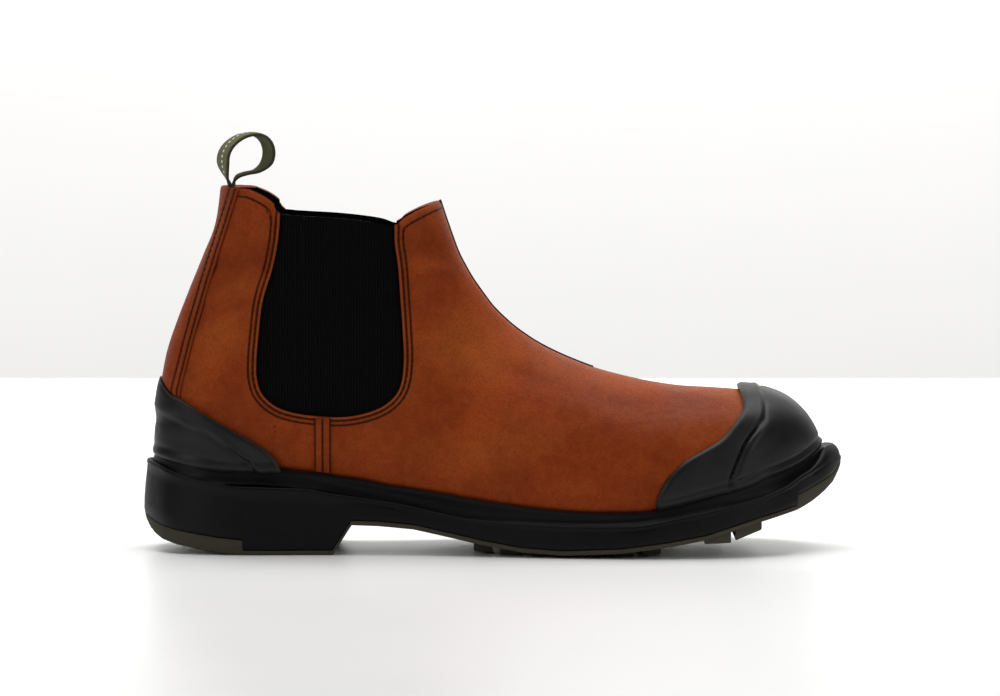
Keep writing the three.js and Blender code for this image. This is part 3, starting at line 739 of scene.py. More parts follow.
def node(tree, kind, inputs=None, **settings):
    """A new node, with its settings and what its inputs are joined or set to."""
    made = tree.nodes.new(kind)
    for name, value in settings.items():
        setattr(made, name, value)
    for name, value in (inputs or {}).items():
        if isinstance(value, bpy.types.NodeSocket):
            tree.links.new(value, made.inputs[name])
        else:
            made.inputs[name].default_value = value
    return made


def maths(tree, operation, *values):
    """A sum of values, as the output of a Math node."""
    return node(tree, "ShaderNodeMath", dict(enumerate(values)), operation=operation).outputs[0]


def mixed(tree, factor, a, b):
    """A mix of two colours."""
    inputs = {0: factor, 6: a, 7: b}
    return node(tree, "ShaderNodeMix", inputs, data_type="RGBA").outputs[2]


def steps(tree, value, low, high, to_low=0.0, to_high=1.0):
    """A soft step of a value from one range to another."""
    inputs = {"Value": value, 1: low, 2: high, 3: to_low, 4: to_high}
    return node(tree, "ShaderNodeMapRange", inputs, interpolation_type="SMOOTHSTEP").outputs[0]


def attribute(tree, name):
    """A value that a piece's points carry."""
    return node(tree, "ShaderNodeAttribute", attribute_name=name).outputs["Fac"]


def object_place(tree):
    """The place on the object, in metres."""
    return node(tree, "ShaderNodeTexCoord").outputs["Object"]


def group(name, inputs, outputs):
    """A new node group with named inputs and outputs, its tree, and the sockets inside."""
    tree = bpy.data.node_groups.new(name, "ShaderNodeTree")
    kinds = {"vector": "NodeSocketVector", "value": "NodeSocketFloat"}
    for key, kind in inputs.items():
        tree.interface.new_socket(name=key, in_out="INPUT", socket_type=kinds[kind])
    for key, kind in outputs.items():
        tree.interface.new_socket(name=key, in_out="OUTPUT", socket_type=kinds[kind])
    start = tree.nodes.new("NodeGroupInput")
    end = tree.nodes.new("NodeGroupOutput")
    return tree, start.outputs, end.inputs


def grain_group():
    """Fine grain: small rounded cells with pores between them."""
    tree, given, result = group(
        "Grain", {"Place": "vector", "Scale": "value"}, {"Height": "value", "Pores": "value"}
    )
    at = {"Vector": given["Place"], "Scale": given["Scale"]}
    cells = node(tree, "ShaderNodeTexVoronoi", {**at, "Smoothness": 0.6}, feature="SMOOTH_F1")
    fine = node(tree, "ShaderNodeTexNoise", {**at, "Detail": 3.0})
    domes = maths(tree, "SUBTRACT", 1.0, cells.outputs["Distance"])
    height_out = maths(tree, "ADD", domes, maths(tree, "MULTIPLY", fine.outputs["Fac"], 0.5))
    tree.links.new(height_out, result["Height"])
    tree.links.new(steps(tree, cells.outputs["Distance"], 0.35, 0.75), result["Pores"])
    return tree


def mottle_group():
    """Clouds in two sizes, from 0 to 1."""
    tree, given, result = group("Mottle", {"Place": "vector", "Scale": "value"}, {"Clouds": "value"})
    large = node(
        tree, "ShaderNodeTexNoise", {
            "Vector": given["Place"], "Scale": given["Scale"], "Detail": 4.0, "Roughness": 0.6,
            "Distortion": 0.6,
        },
    )
    small_scale = maths(tree, "MULTIPLY", given["Scale"], 5.3)
    small = node(
        tree, "ShaderNodeTexNoise",
        {"Vector": given["Place"], "Scale": small_scale, "Detail": 5.0, "Roughness": 0.7},
    )
    both = maths(
        tree, "ADD", maths(tree, "MULTIPLY", large.outputs["Fac"], 0.68),
        maths(tree, "MULTIPLY", small.outputs["Fac"], 0.32),
    )
    tree.links.new(steps(tree, both, 0.34, 0.66), result["Clouds"])
    return tree


def line_group():
    """A soft line where a distance has a given value, 1 on the line and 0 past its half width."""
    tree, given, result = group(
        "Line", {"Distance": "value", "At": "value", "Half width": "value"}, {"Line": "value"}
    )
    off = maths(tree, "ABSOLUTE", maths(tree, "SUBTRACT", given["Distance"], given["At"]))
    share = maths(tree, "DIVIDE", off, given["Half width"])
    tree.links.new(steps(tree, share, 0.2, 1.0, 1.0, 0.0), result["Line"])
    return tree


def weave_group():
    """A plain weave on a flat place in metres, with threads a given pitch apart."""
    tree, given, result = group(
        "Weave", {"Place": "vector", "Along": "value", "Across": "value"}, {"Height": "value"}
    )
    split = node(tree, "ShaderNodeSeparateXYZ", {"Vector": given["Place"]})
    turns = []
    for axis, pitch in (("X", "Along"), ("Y", "Across")):
        threads = maths(tree, "DIVIDE", split.outputs[axis], given[pitch])
        turns.append(maths(tree, "MULTIPLY", threads, math.pi))
    along, across = maths(tree, "SINE", turns[0]), maths(tree, "SINE", turns[1])
    crossing = maths(tree, "MULTIPLY", along, across)
    tree.links.new(maths(tree, "MULTIPLY_ADD", crossing, 0.5, 0.5), result["Height"])
    return tree


GROUP_MAKERS = {"Grain": grain_group, "Mottle": mottle_group, "Line": line_group, "Weave": weave_group}


def effect(tree, name, **inputs):
    """A shared node group placed in a material, and its outputs."""
    made = bpy.data.node_groups.get(name) or GROUP_MAKERS[name]()
    placed_node = node(tree, "ShaderNodeGroup", node_tree=made)
    for key, value in inputs.items():
        socket = placed_node.inputs[key.replace("_", " ").capitalize()]
        if isinstance(value, bpy.types.NodeSocket):
            tree.links.new(value, socket)
        else:
            socket.default_value = value
    return placed_node.outputs


def new_material(name, **settings):
    """A new material with its tree and its Principled shader."""
    material = bpy.data.materials.new(name)
    material.use_nodes = True
    tree = material.node_tree
    shader = tree.nodes["Principled BSDF"]
    for key, value in settings.items():
        shader.inputs[key.replace("_", " ")].default_value = value
    return material, tree, shader


def scaled(tone, factor, lift=0.0):
    """A colour made lighter or darker."""
    return (*(factor * part + lift for part in tone[:3]), 1)


def paint(tree, shader, tone):
    """Joins a colour to the shader."""
    tree.links.new(tone, shader.inputs["Base Color"])


def roughen(tree, shader, value, factor, rest):
    """Joins a roughness to the shader: the rest, and a value times a factor."""
    tree.links.new(maths(tree, "MULTIPLY_ADD", value, factor, rest), shader.inputs["Roughness"])


def bumps(tree, shader, *layers):
    """Joins heights to the shader's normal, each with its strength and its distance in metres."""
    normal = None
    for value, strength, distance in layers:
        inputs = {"Height": value, "Strength": strength, "Distance": distance}
        if normal is not None:
            inputs["Normal"] = normal
        normal = node(tree, "ShaderNodeBump", inputs).outputs["Normal"]
    tree.links.new(normal, shader.inputs["Normal"])


def leather_material(name, rows, edge_highlight_strength):
    """Oiled leather with clouds, painted highlights and painted shadow lines along its cut edges, and sewn
    channels. rows are the distances from a cut edge, by the value that carries it, where stitches pull the
    leather down. The third argument is how pale the painted highlight on its edges is."""
    tones = colours()
    material, tree, shader = new_material(
        name, Roughness=0.5, Specular_IOR_Level=0.08, Specular_Tint=(1, 0.45, 0.22, 1)
    )
    place = object_place(tree)
    clouds = effect(tree, "Mottle", place=place, scale=22.0)["Clouds"]
    specks = effect(tree, "Mottle", place=place, scale=170.0)["Clouds"]
    grain = effect(tree, "Grain", place=place, scale=1500.0)
    tone = mixed(tree, steps(tree, clouds, 0.0, 1.0, 0.3, 1.0), tones.leather_dark_and_shade, tones.leather)
    tone = mixed(tree, attribute(tree, "pale"), tone, tones.leather_pale_and_highlight)
    tone = mixed(tree, attribute(tree, "dark"), tone, tones.leather_dark_and_shade)
    tone = mixed(tree, maths(tree, "MULTIPLY", specks, 0.16), tone, tones.leather_pale_and_highlight)
    tone = mixed(tree, maths(tree, "MULTIPLY", grain["Pores"], 0.35), tone, tones.leather_dark_and_shade)
    channel = None
    for key, at in rows:
        distance = attribute(tree, key)
        line = effect(tree, "Line", distance=distance, at=at, half_width=0.75 * MM)["Line"]
        channel = line if channel is None else maths(tree, "MAXIMUM", channel, line)
        # Painted highlight: near the cut the leather turns to the edge colour, where the folded edge catches
        # the light.
        edge_highlight = steps(tree, distance, 0.3 * MM, 1.3 * MM, edge_highlight_strength, 0.0)
        tone = mixed(tree, edge_highlight, tone, tones.edge)
        # Painted shadow: a dark line right along the cut edge, where the edge steps down.
        edge_shadow = effect(tree, "Line", distance=distance, at=0.0, half_width=0.7 * MM)["Line"]
        tone = mixed(tree, maths(tree, "MULTIPLY", edge_shadow, 0.5), tone, tones.leather_dark_and_shade)
    if channel is not None:
        tone = mixed(tree, maths(tree, "MULTIPLY", channel, 0.85), tone, tones.thread)
    paint(tree, shader, tone)
    rough = steps(tree, clouds, 0.0, 1.0, 0.4, 0.56)
    roughen(tree, shader, grain["Pores"], 0.15, rough)
    layers = [(grain["Height"], 0.28, 0.12 * MM), (specks, 0.25, 0.35 * MM)]
    if channel is not None:
        layers.append((maths(tree, "SUBTRACT", 1.0, channel), 0.7, 0.35 * MM))
    bumps(tree, shader, *layers)
    return material


def rubber_material(name, tone, roughness=0.38, shine=0.2, grain_scale=2300.0):
    """Moulded rubber with a fine skin, faint flow clouds and dull patches."""
    material, tree, shader = new_material(name, Specular_IOR_Level=shine)
    place = object_place(tree)
    clouds = effect(tree, "Mottle", place=place, scale=35.0)["Clouds"]
    grain = effect(tree, "Grain", place=place, scale=grain_scale)
    shade = mixed(tree, maths(tree, "MULTIPLY", clouds, 0.45), tone, scaled(tone, 1.7, 0.001))
    paint(tree, shader, shade)
    roughen(tree, shader, clouds, 0.12, roughness)
    bumps(tree, shader, (grain["Height"], 0.16, 0.1 * MM), (clouds, 0.12, 0.5 * MM))
    return material


def textile_material(name, tone, pitch):
    """A plain woven textile."""
    material, tree, shader = new_material(name, Specular_IOR_Level=0.1)
    place = object_place(tree)
    turned = node(tree, "ShaderNodeMapping", {"Vector": place, "Rotation": (math.radians(90), 0, 0)})
    weave = effect(tree, "Weave", place=turned.outputs[0], along=pitch, across=pitch)
    clouds = effect(tree, "Mottle", place=place, scale=60.0)["Clouds"]
    shade = mixed(tree, maths(tree, "MULTIPLY", weave["Height"], 0.7), tone, scaled(tone, 2.0, 0.001))
    paint(tree, shader, shade)
    roughen(tree, shader, clouds, 0.1, 0.85)
    bumps(tree, shader, (weave["Height"], 0.5, 0.3 * MM))
    return material


def elastic_material():
    """Elastic webbing with upright ribs."""
    tone = colours().elastic
    material, tree, shader = new_material(
        "elastic webbing", Roughness=0.85, Specular_IOR_Level=0.04
    )
    place = object_place(tree)
    split = node(tree, "ShaderNodeSeparateXYZ", {"Vector": place})
    rib = maths(tree, "SINE", maths(tree, "MULTIPLY", split.outputs["X"], math.tau / (1.3 * MM)))
    rung = maths(tree, "SINE", maths(tree, "MULTIPLY", split.outputs["Z"], math.tau / (0.7 * MM)))
    ribs = maths(tree, "MULTIPLY_ADD", rib, 0.5, 0.5)
    rungs = maths(tree, "MULTIPLY_ADD", rung, 0.5, 0.5)
    shade = mixed(tree, maths(tree, "MULTIPLY", ribs, 0.8), tone, scaled(tone, 2.2, 0.001))
    paint(tree, shader, shade)
    both = maths(tree, "ADD", ribs, maths(tree, "MULTIPLY", rungs, 0.3))
    bumps(tree, shader, (both, 0.7, 0.35 * MM))
    return material


def thread_material():
    """Waxed thread."""
    tone = colours().thread
    material, tree, shader = new_material("waxed thread", Roughness=0.8, Specular_IOR_Level=0.05)
    fine = node(tree, "ShaderNodeTexNoise", {"Vector": object_place(tree), "Scale": 4000.0, "Detail": 2.0})
    shade = mixed(tree, maths(tree, "MULTIPLY", fine.outputs["Fac"], 0.6), tone, scaled(tone, 2.5))
    paint(tree, shader, shade)
    bumps(tree, shader, (fine.outputs["Fac"], 0.5, 0.1 * MM))
    return material


def webbing_material(name, dotted):
    """Woven tape, with or without one row of plain dots down its middle."""
    tones = colours()
    width = sizes().tape_width
    material, tree, shader = new_material(name, Roughness=0.9, Specular_IOR_Level=0.1)
    flat = node(tree, "ShaderNodeUVMap", uv_map="tape").outputs["UV"]
    weave = effect(tree, "Weave", place=flat, along=0.55 * MM, across=0.75 * MM)
    lifted = maths(tree, "MULTIPLY", weave["Height"], 0.8)
    shade = mixed(tree, lifted, tones.webbing, scaled(tones.webbing, 1.7))
    split = node(tree, "ShaderNodeSeparateXYZ", {"Vector": flat}).outputs
    off = maths(tree, "SUBTRACT", split["Y"], width / 2)
    layers = [(weave["Height"], 0.6, 0.3 * MM)]
    if dotted:
        pitch = 2.2 * MM
        along = maths(tree, "PINGPONG", split["X"], pitch / 2)
        squares = maths(tree, "ADD", maths(tree, "POWER", along, 2.0), maths(tree, "POWER", off, 2.0))
        dots = steps(tree, maths(tree, "SQRT", squares), 0.5 * MM, 0.75 * MM, 1.0, 0.0)
        shade = mixed(tree, dots, shade, tones.dots)
        layers.append((dots, 0.4, 0.2 * MM))
    selvedge = steps(tree, maths(tree, "ABSOLUTE", off), width * 0.41, width * 0.46)
    shade = mixed(tree, maths(tree, "MULTIPLY", selvedge, 0.8), shade, scaled(tones.webbing, 0.3))
    paint(tree, shader, shade)
    bumps(tree, shader, *layers)
    return material


def finish(name):
    """A material of the boot by its name, made when it is first asked for."""
    found = bpy.data.materials.get(name)
    if found:
        return found
    size, tones = sizes(), colours()
    makers = {
        "upper leather": lambda: leather_material(
            name, [("gusset_cut", size.inner_row), ("edge_cut", size.outer_row)], 0.35
        ),
        "backstay leather": lambda: leather_material(
            name, [("cut", size.strip_row), ("cut", size.strip_row + size.strip_gap)], 0.1
        ),
        "seam leather": lambda: leather_material(
            name, [("cut", size.seam_width / 2), ("cut", 0.2 * MM)], 0.1
        ),
        "lining": lambda: textile_material(name, tones.lining, 0.9 * MM),
        "insole textile": lambda: textile_material(name, tones.lining, 1.1 * MM),
        "elastic webbing": elastic_material,
        "waxed thread": thread_material,
        "cap rubber": lambda: rubber_material(name, tones.rubber),
        "sole rubber": lambda: rubber_material(name, tones.sole, 0.4, 0.12),
        "tread rubber": lambda: rubber_material(name, tones.tread, 0.6, 0.2, 1800.0),
        "woven tape": lambda: webbing_material(name, True),
        "plain tape": lambda: webbing_material(name, False),
    }
    return makers[name]()


# Operators

class Piece(bpy.types.Operator):
    """Base of the operators that make pieces."""

    bl_options = {"REGISTER", "UNDO"}

    def execute(self, context):
        self.make()
        return {"FINISHED"}


def side_points(place, turn):
    """Side-view points [x, z] of places on the last."""
    return last_points(place, turn)[:, [0, 2]]


def crease_heights(points, turn, creases):
    """How far a table's creases move the skin out."""
    size = sizes()
    moved = np.zeros(len(points))
    for at, level, slope, long, wide, depth, inner in zip(*creases.values()):
        to = points - (along_last(at), height(level))
        angle = math.radians(slope)
        along = (to[:, 0] * math.cos(angle) + to[:, 1] * math.sin(angle)) / (long * size.last_length)
        across = (to[:, 1] * math.cos(angle) - to[:, 0] * math.sin(angle)) / (wide * size.last_length)
        share = np.where(turn > 0, 1, inner) * ramp(np.abs(turn), 0.02, 0.2)
        moved -= share * depth * size.leather * np.exp(-(along**2) - across**2)
    return moved


class MakeUpper(Piece):
    """Makes the leather upper with its lining"""

    bl_idname = "boot.make_upper"
    bl_label = "Upper"

    def make(self):
        size = sizes()
        collar = side_line(COLLAR_LINE)
        opening = gusset_outline()
        lasting = bottom_line()
        rand = rand_line()

        def depth(place, turn):
            points = side_points(place, turn)
            kept = np.minimum(-over(points, collar), -inside(points, opening))
            return np.minimum(kept, over(points, lasting, size.leather + 2 * size.clearance))

        def skin(place, turn):
            points = side_points(place, turn)
            collar_cut = np.maximum(-over(points, collar), 0)
            gusset_cut = np.maximum(-inside(points, opening), 0)
            cut = np.minimum(collar_cut, gusset_cut)
            rolled = rounded(cut, 0.75 * MM, size.roll)
            creases = crease_heights(points, turn, CREASES)
            over_rand = over(points, rand)
            forward = (points[:, 0] - along_last(0.35)) / (0.6 * size.last_length)
            # Painted highlight: the leather is paler along the top ridge, where the light from above falls.
            top = ramp(1 - np.abs(turn), 0.55, 0.95)
            # The tone table's patches: the leather's own lighter and darker spots, and a painted sheen.
            tone = -crease_heights(points, turn, TONES_AND_SHEEN) / size.leather
            # pale: paler towards the toe, plus painted highlights on the top ridge and on the ridges of the
            # creases, plus the tone table's pale patches.
            pale = np.clip(0.18 * ramp(forward, 0.2, 1.1) + 0.15 * top + 0.3 * creases / MM + tone, 0, 0.85)
            # Painted shade: the leather darkens towards the rand, low on the upper.
            low = np.exp(-np.maximum(over_rand, 0) / (14 * MM))
            # dark: painted shade in the dents of the creases and towards the rand, plus the tone table's dark
            # patches.
            dark = np.clip(0.55 * low - 0.5 * np.minimum(creases, 0) / MM - tone, 0, 0.85)
            values = {"edge_cut": cut, "gusset_cut": gusset_cut, "pale": pale, "dark": dark}
            return creases - rolled, values

        grid = trimmed_grid(PLACES["upper"], (-1, 1), size.skin_grid, depth)
        piece = wrap("upper_leather", grid, skin, finish("upper leather"), finish("lining"))
        thicken(piece, size.leather, 1)
        dress(piece, "upper_leather", "upper")


class MakeGussets(Piece):
    """Makes the two elastic sides"""

    bl_idname = "boot.make_gussets"
    bl_label = "Elastic sides"

    def make(self):
        size = sizes()
        cut = side_line(GUSSET_LINE)
        patch = open_to_top(grown(cut, size.elastic_overlap))
        collar = side_line(COLLAR_LINE)
        top = collar[(collar[:, 0] >= cut[0, 0]) & (collar[:, 0] <= cut[-1, 0])]

        def depth(place, turn):
            points = side_points(place, turn)
            return np.minimum(inside(points, patch), -over(points, top, -1.1 * MM))

        def skin(place, turn):
            return np.full(len(place), -size.leather - size.clearance), {}

        for name, turns in (("outer", (0.02, 0.98)), ("inner", (-0.98, -0.02))):
            grid = trimmed_grid(PLACES["elastic"], turns, size.skin_grid, depth)
            piece = wrap(f"elastic_{name}", grid, skin, finish("elastic webbing"))
            thicken(piece, size.elastic)
            dress(piece, "elastic", f"gusset_{name}")


class MakeToeCap(Piece):
    """Makes the rubber toe cap"""

    bl_idname = "boot.make_toe_cap"
    bl_label = "Toe cap"

    def make(self):
        size = sizes()
        cap_line = side_line(CAP_LINE)
        dome_line = side_line(DOME_LINE)
        rand = rand_line()

        def depth(place, turn):
            points = side_points(place, turn)
            return np.minimum(ahead(points, cap_line), over(points, rand, size.clearance))

        def skin(place, turn):
            points = side_points(place, turn)
            dome = ahead(points, dome_line)
            edge = ahead(points, cap_line)
            over_rand = over(points, rand, size.clearance)
            high = ramp(points[:, 1] - height(RIM_FOOT), -5 * MM, 4 * MM)
            on_dome = ramp(dome, -0.6 * MM, 0.6 * MM)
            offset = size.clearance + size.cap + size.cap_step * (1 - on_dome) * (1.7 * high - 1)
            rim = 0.3 * bell(dome, -1.2 * MM, 0.8 * MM) - 0.4 * bell(dome, 0.8 * MM, 0.6 * MM)
            crease = bell(dome, 2.6 * MM, 2.6 * MM) - 1.5 * bell(dome, -0.3 * MM, 0.55 * MM)
            low = (1 - high) * ramp(over_rand, 1.5 * MM, 6 * MM)
            offset += MM * (high * rim + low * crease)
            lip, groove = size.cap_lip * 0.45, size.cap_lip * 1.1
            foot = 0.7 * bell(over_rand, lip, 0.9 * MM) - 0.5 * bell(over_rand, groove, 0.7 * MM)
            offset += MM * (0.4 + 0.6 * on_dome) * foot
            offset -= rounded(edge, 1.3 * MM, 2 * MM)
            return offset, {}

        grid = trimmed_grid(PLACES["toe cap"], (-1, 1), 0.75 * size.rubber_grid, depth)
        piece = wrap("toe_cap_rubber", grid, skin, finish("cap rubber"))
        thicken(piece, size.cap - size.cap_step)
        dress(piece, "cap_rubber", "toe_cap")


class MakeHeelCounter(Piece):
    """Makes the rubber heel counter"""

    bl_idname = "boot.make_heel_counter"
    bl_label = "Heel counter"

    def make(self):
        size = sizes()
        top = side_line(COUNTER_LINE)
        band = side_line(COUNTER_BAND_LINE)
        front = along_last(COUNTER_LINE["at"][-1])
        rand = rand_line()

        def depth(place, turn):
            points = side_points(place, turn)
            kept = np.minimum(-over(points, top), over(points, rand, size.clearance))
            return np.minimum(kept, front - points[:, 0])

        def skin(place, turn):
            points = side_points(place, turn)
            raised = over(points, band)
            edge = -over(points, top)
            foot = over(points, rand, size.clearance)
            side = 0.25 + 0.75 * ramp(points[:, 0] - along_last(0.02), 0, 0.05 * size.last_length)
            step = size.counter_step * ramp(raised, -0.4 * MM, 0.4 * MM)
            step += 0.35 * MM * (bell(raised, 0.9 * MM, 0.8 * MM) - bell(raised, -1 * MM, 0.8 * MM))
            offset = size.clearance + size.counter + side * step
            offset += MM * (0.5 * bell(foot, 1.2 * MM, 1.2 * MM) - 0.3 * bell(foot, 3.6 * MM, 1.0 * MM))
            offset += crease_heights(points, turn, COUNTER_CREASES) + 1.2 * MM * bell(foot, 0, 4 * MM)
            offset -= rounded(edge, 0.9 * MM, 1.4 * MM)
            return offset, {}

        grid = trimmed_grid(PLACES["counter"], (0.2, 1.8), size.rubber_grid, depth)
        piece = wrap("heel_counter_rubber", grid, skin, finish("cap rubber"))
        thicken(piece, size.counter - 0.9 * MM)
        dress(piece, "cap_rubber", "heel_counter")


class MakeStrips(Piece):
    """Makes the backstay and the two side seams"""

    bl_idname = "boot.make_strips"
    bl_label = "Backstay and side seams"

    def make(self):
        self.make_backstay()
        for side, name in ((1, "outer"), (-1, "inner")):
            self.make_seam(side, name)

    def make_backstay(self):
        """Makes the strip up the back."""
        size = sizes()
        front = side_line(BACKSTAY_LINE)
        counter = side_line(COUNTER_LINE)
        collar = side_line(COLLAR_LINE)

        def depth(place, turn):
            points = side_points(place, turn)
            kept = np.minimum(-ahead(points, front), over(points, counter, size.clearance))
            return np.minimum(kept, -over(points, collar))

        def skin(place, turn):
            points = side_points(place, turn)
            cut = np.maximum(-ahead(points, front), 0)
            top = np.maximum(-over(points, collar), 0)
            rolled = rounded(np.minimum(cut, top), 0.4 * MM, 0.9 * MM)
            plain = np.zeros(len(place))
            return size.strip_height - rolled, {"cut": cut, "pale": plain, "dark": plain + 0.2}

        grid = trimmed_grid(PLACES["backstay"], (0.3, 1.7), size.rubber_grid, depth)
        piece = wrap("backstay_strip", grid, skin, finish("backstay leather"))
        thicken(piece, size.strip_height - size.clearance)
        dress(piece, "backstay_leather", "backstay")

    def make_seam(self, side, name):
        """Makes the lapped seam under one elastic side."""
        size = sizes()
        middle = along_last(SEAM_START) + size.seam_width / 2
        rand = rand_line()
        opening = gusset_outline()

        def within(points):
            return size.seam_width / 2 - np.abs(points[:, 0] - middle)

        def depth(place, turn):
            points = side_points(place, turn)
            kept = np.minimum(within(points), over(points, rand, size.clearance))
            return np.minimum(kept, -inside(points, opening) - size.clearance)

        def skin(place, turn):
            points = side_points(place, turn)
            cut = np.maximum(within(points), 0)
            rolled = rounded(cut, 0.4 * MM, 0.9 * MM)
            plain = np.zeros(len(place))
            opened = bell(inside(points, opening), 0, 2.5 * MM)
            return size.strip_height - rolled, {"cut": cut, "pale": plain, "dark": 0.15 + 0.6 * opened}

        turns = (0.3, 0.98) if side > 0 else (-0.98, -0.3)
        grid = trimmed_grid(PLACES["side seam"], turns, 0.8 * MM, depth)
        piece = wrap(f"side_seam_strip_{name}", grid, skin, finish("seam leather"))
        thicken(piece, size.strip_height - size.clearance)
        dress(piece, "seam_leather", f"side_seam_{name}")


# The sole

def sole_plan(corners):
    """Stations along the sole from the heel to the toe, with one at each corner, a place x. Gives the points
    of the outer and the inner side and their outward directions."""
    size = sizes()
    outer = np.stack([along_sole(OUTLINE["at"]), -OUTLINE["outer"] * size.ball_width], axis=-1)
    inner = np.stack([along_sole(OUTLINE["at"]), OUTLINE["inner"] * size.ball_width], axis=-1)
    heel, toe = [along_sole(0), 0], [along_sole(1), TOE_TIP_INNER * size.ball_width]
    ring = np.vstack([heel, outer, toe, inner[::-1]])
    before, after, beyond = (np.roll(ring, -step, axis=0) for step in (-1, 1, 2))
    runs = (ring - before, after - ring, beyond - after)
    gaps = [np.linalg.norm(run, axis=1, keepdims=True) ** 0.5 for run in runs]
    leave = (ring - before) / gaps[0] - (after - before) / (gaps[0] + gaps[1]) + (after - ring) / gaps[1]
    reach = (after - ring) / gaps[1] - (beyond - ring) / (gaps[1] + gaps[2]) + (beyond - after) / gaps[2]
    t = np.linspace(0, 1, 80, endpoint=False)[:, None]
    a, b = ring[:, None], after[:, None]
    leave, reach = (leave * gaps[1])[:, None], (reach * gaps[1])[:, None]
    curve = a + leave * t + (3 * (b - a) - 2 * leave - reach) * t**2 + (2 * (a - b) + leave + reach) * t**3
    curve = np.vstack([curve.reshape(-1, 2), ring[:1]])
    toe_index = (len(outer) + 1) * len(t)
    outer_side, inner_side = curve[:toe_index + 1], curve[toe_index:][::-1]
    walked = walked_along(outer_side)
    even = np.interp(np.linspace(0, walked[-1], round(walked[-1] / size.sole_grid)), walked, outer_side[:, 0])
    corners = np.asarray(corners)
    clear = np.abs(even[:, None] - corners).min(axis=1) > 0.3 * MM
    clear[[0, -1]] = True
    x = np.sort(np.concatenate([even[clear], corners]))
    outer_y, inner_y = np.interp(x, *outer_side.T), np.interp(x, *inner_side.T)
    whole = np.vstack([np.stack([x, outer_y], axis=-1), np.stack([x, inner_y], axis=-1)[-2:0:-1]])
    run = np.roll(whole, -1, axis=0) - np.roll(whole, 1, axis=0)
    outward = np.stack([run[:, 1], -run[:, 0]], axis=-1)
    outward /= np.linalg.norm(outward, axis=1, keepdims=True)
    count = len(x)
    back = np.concatenate([[0], np.arange(len(whole) - 1, count - 2, -1)])
    return (whole[:count], outward[:count]), (whole[back], outward[back])


def groove_at(x):
    """The height of the groove on top of the side wall."""
    return np.interp(x, *side_line(GROOVE_LINE, along_sole).T)


def tread_at(x):
    """The height of the outsole's lower edge."""
    return np.interp(x, along_sole(TREAD_LINE["at"]), height(TREAD_LINE["level"]))


def seam_at(x):
    """The height of the seam between the outsole and the black sole."""
    return tread_at(x) + np.interp(x, along_sole(TREAD_LINE["at"]), TREAD_LINE["layers"]) * sizes().sole_layer


def heel_end(x):
    """1 at the heel's end of the sole, 0 farther on."""
    return ramp(along_sole(0.16) - x, 0, 0.12 * sizes().last_length)


def toe_end(x):
    """1 at the toe's end of the sole, 0 before it."""
    return ramp(x - along_sole(0.945), 0, 0.05 * sizes().last_length)


def heel_grooves():
    """The two grooves across the heel, each from one x to another."""
    start, end = along_sole(np.array(HEEL_FLAT))
    half = sizes().heel_groove / 2
    middles = (start + (end - start) / 4, end - (end - start) / 4)
    return [(middle - half, middle + half) for middle in middles]


def sole_mesh(corners, rows):
    """A closed mesh along the sole. rows run round one side from the top to the bottom, and each gives an
    inset from the outline and a height, as functions of x."""
    sides = sole_plan(corners)
    x = sides[0][0][:, 0]
    columns = []
    for (points, outward), order in zip(sides, (rows, rows[::-1])):
        for inset, heights in order:
            moved = points - np.broadcast_to(inset(x), x.shape)[:, None] * outward
            columns.append(np.column_stack([moved, np.broadcast_to(heights(x), x.shape)]))
    columns.append(columns[0])
    sheet = bmesh.new()
    bmesh.ops.create_grid(sheet, x_segments=len(x) - 1, y_segments=len(columns) - 1, size=0.5)
    for vertex in sheet.verts:
        station = grid_row(vertex.co.x, len(x))
        vertex.co = columns[grid_row(vertex.co.y, len(columns))][station]
    bmesh.ops.remove_doubles(sheet, verts=sheet.verts, dist=1e-6)
    bmesh.ops.dissolve_degenerate(sheet, edges=sheet.edges, dist=1e-6)
    bmesh.ops.recalc_face_normals(sheet, faces=sheet.faces)
    return sheet


def meshed(name, shape, *materials):
    """An object for an edited mesh."""
    mesh = bpy.data.meshes.new(name)
    shape.to_mesh(mesh)
    shape.free()
    return placed(name, mesh, *materials)


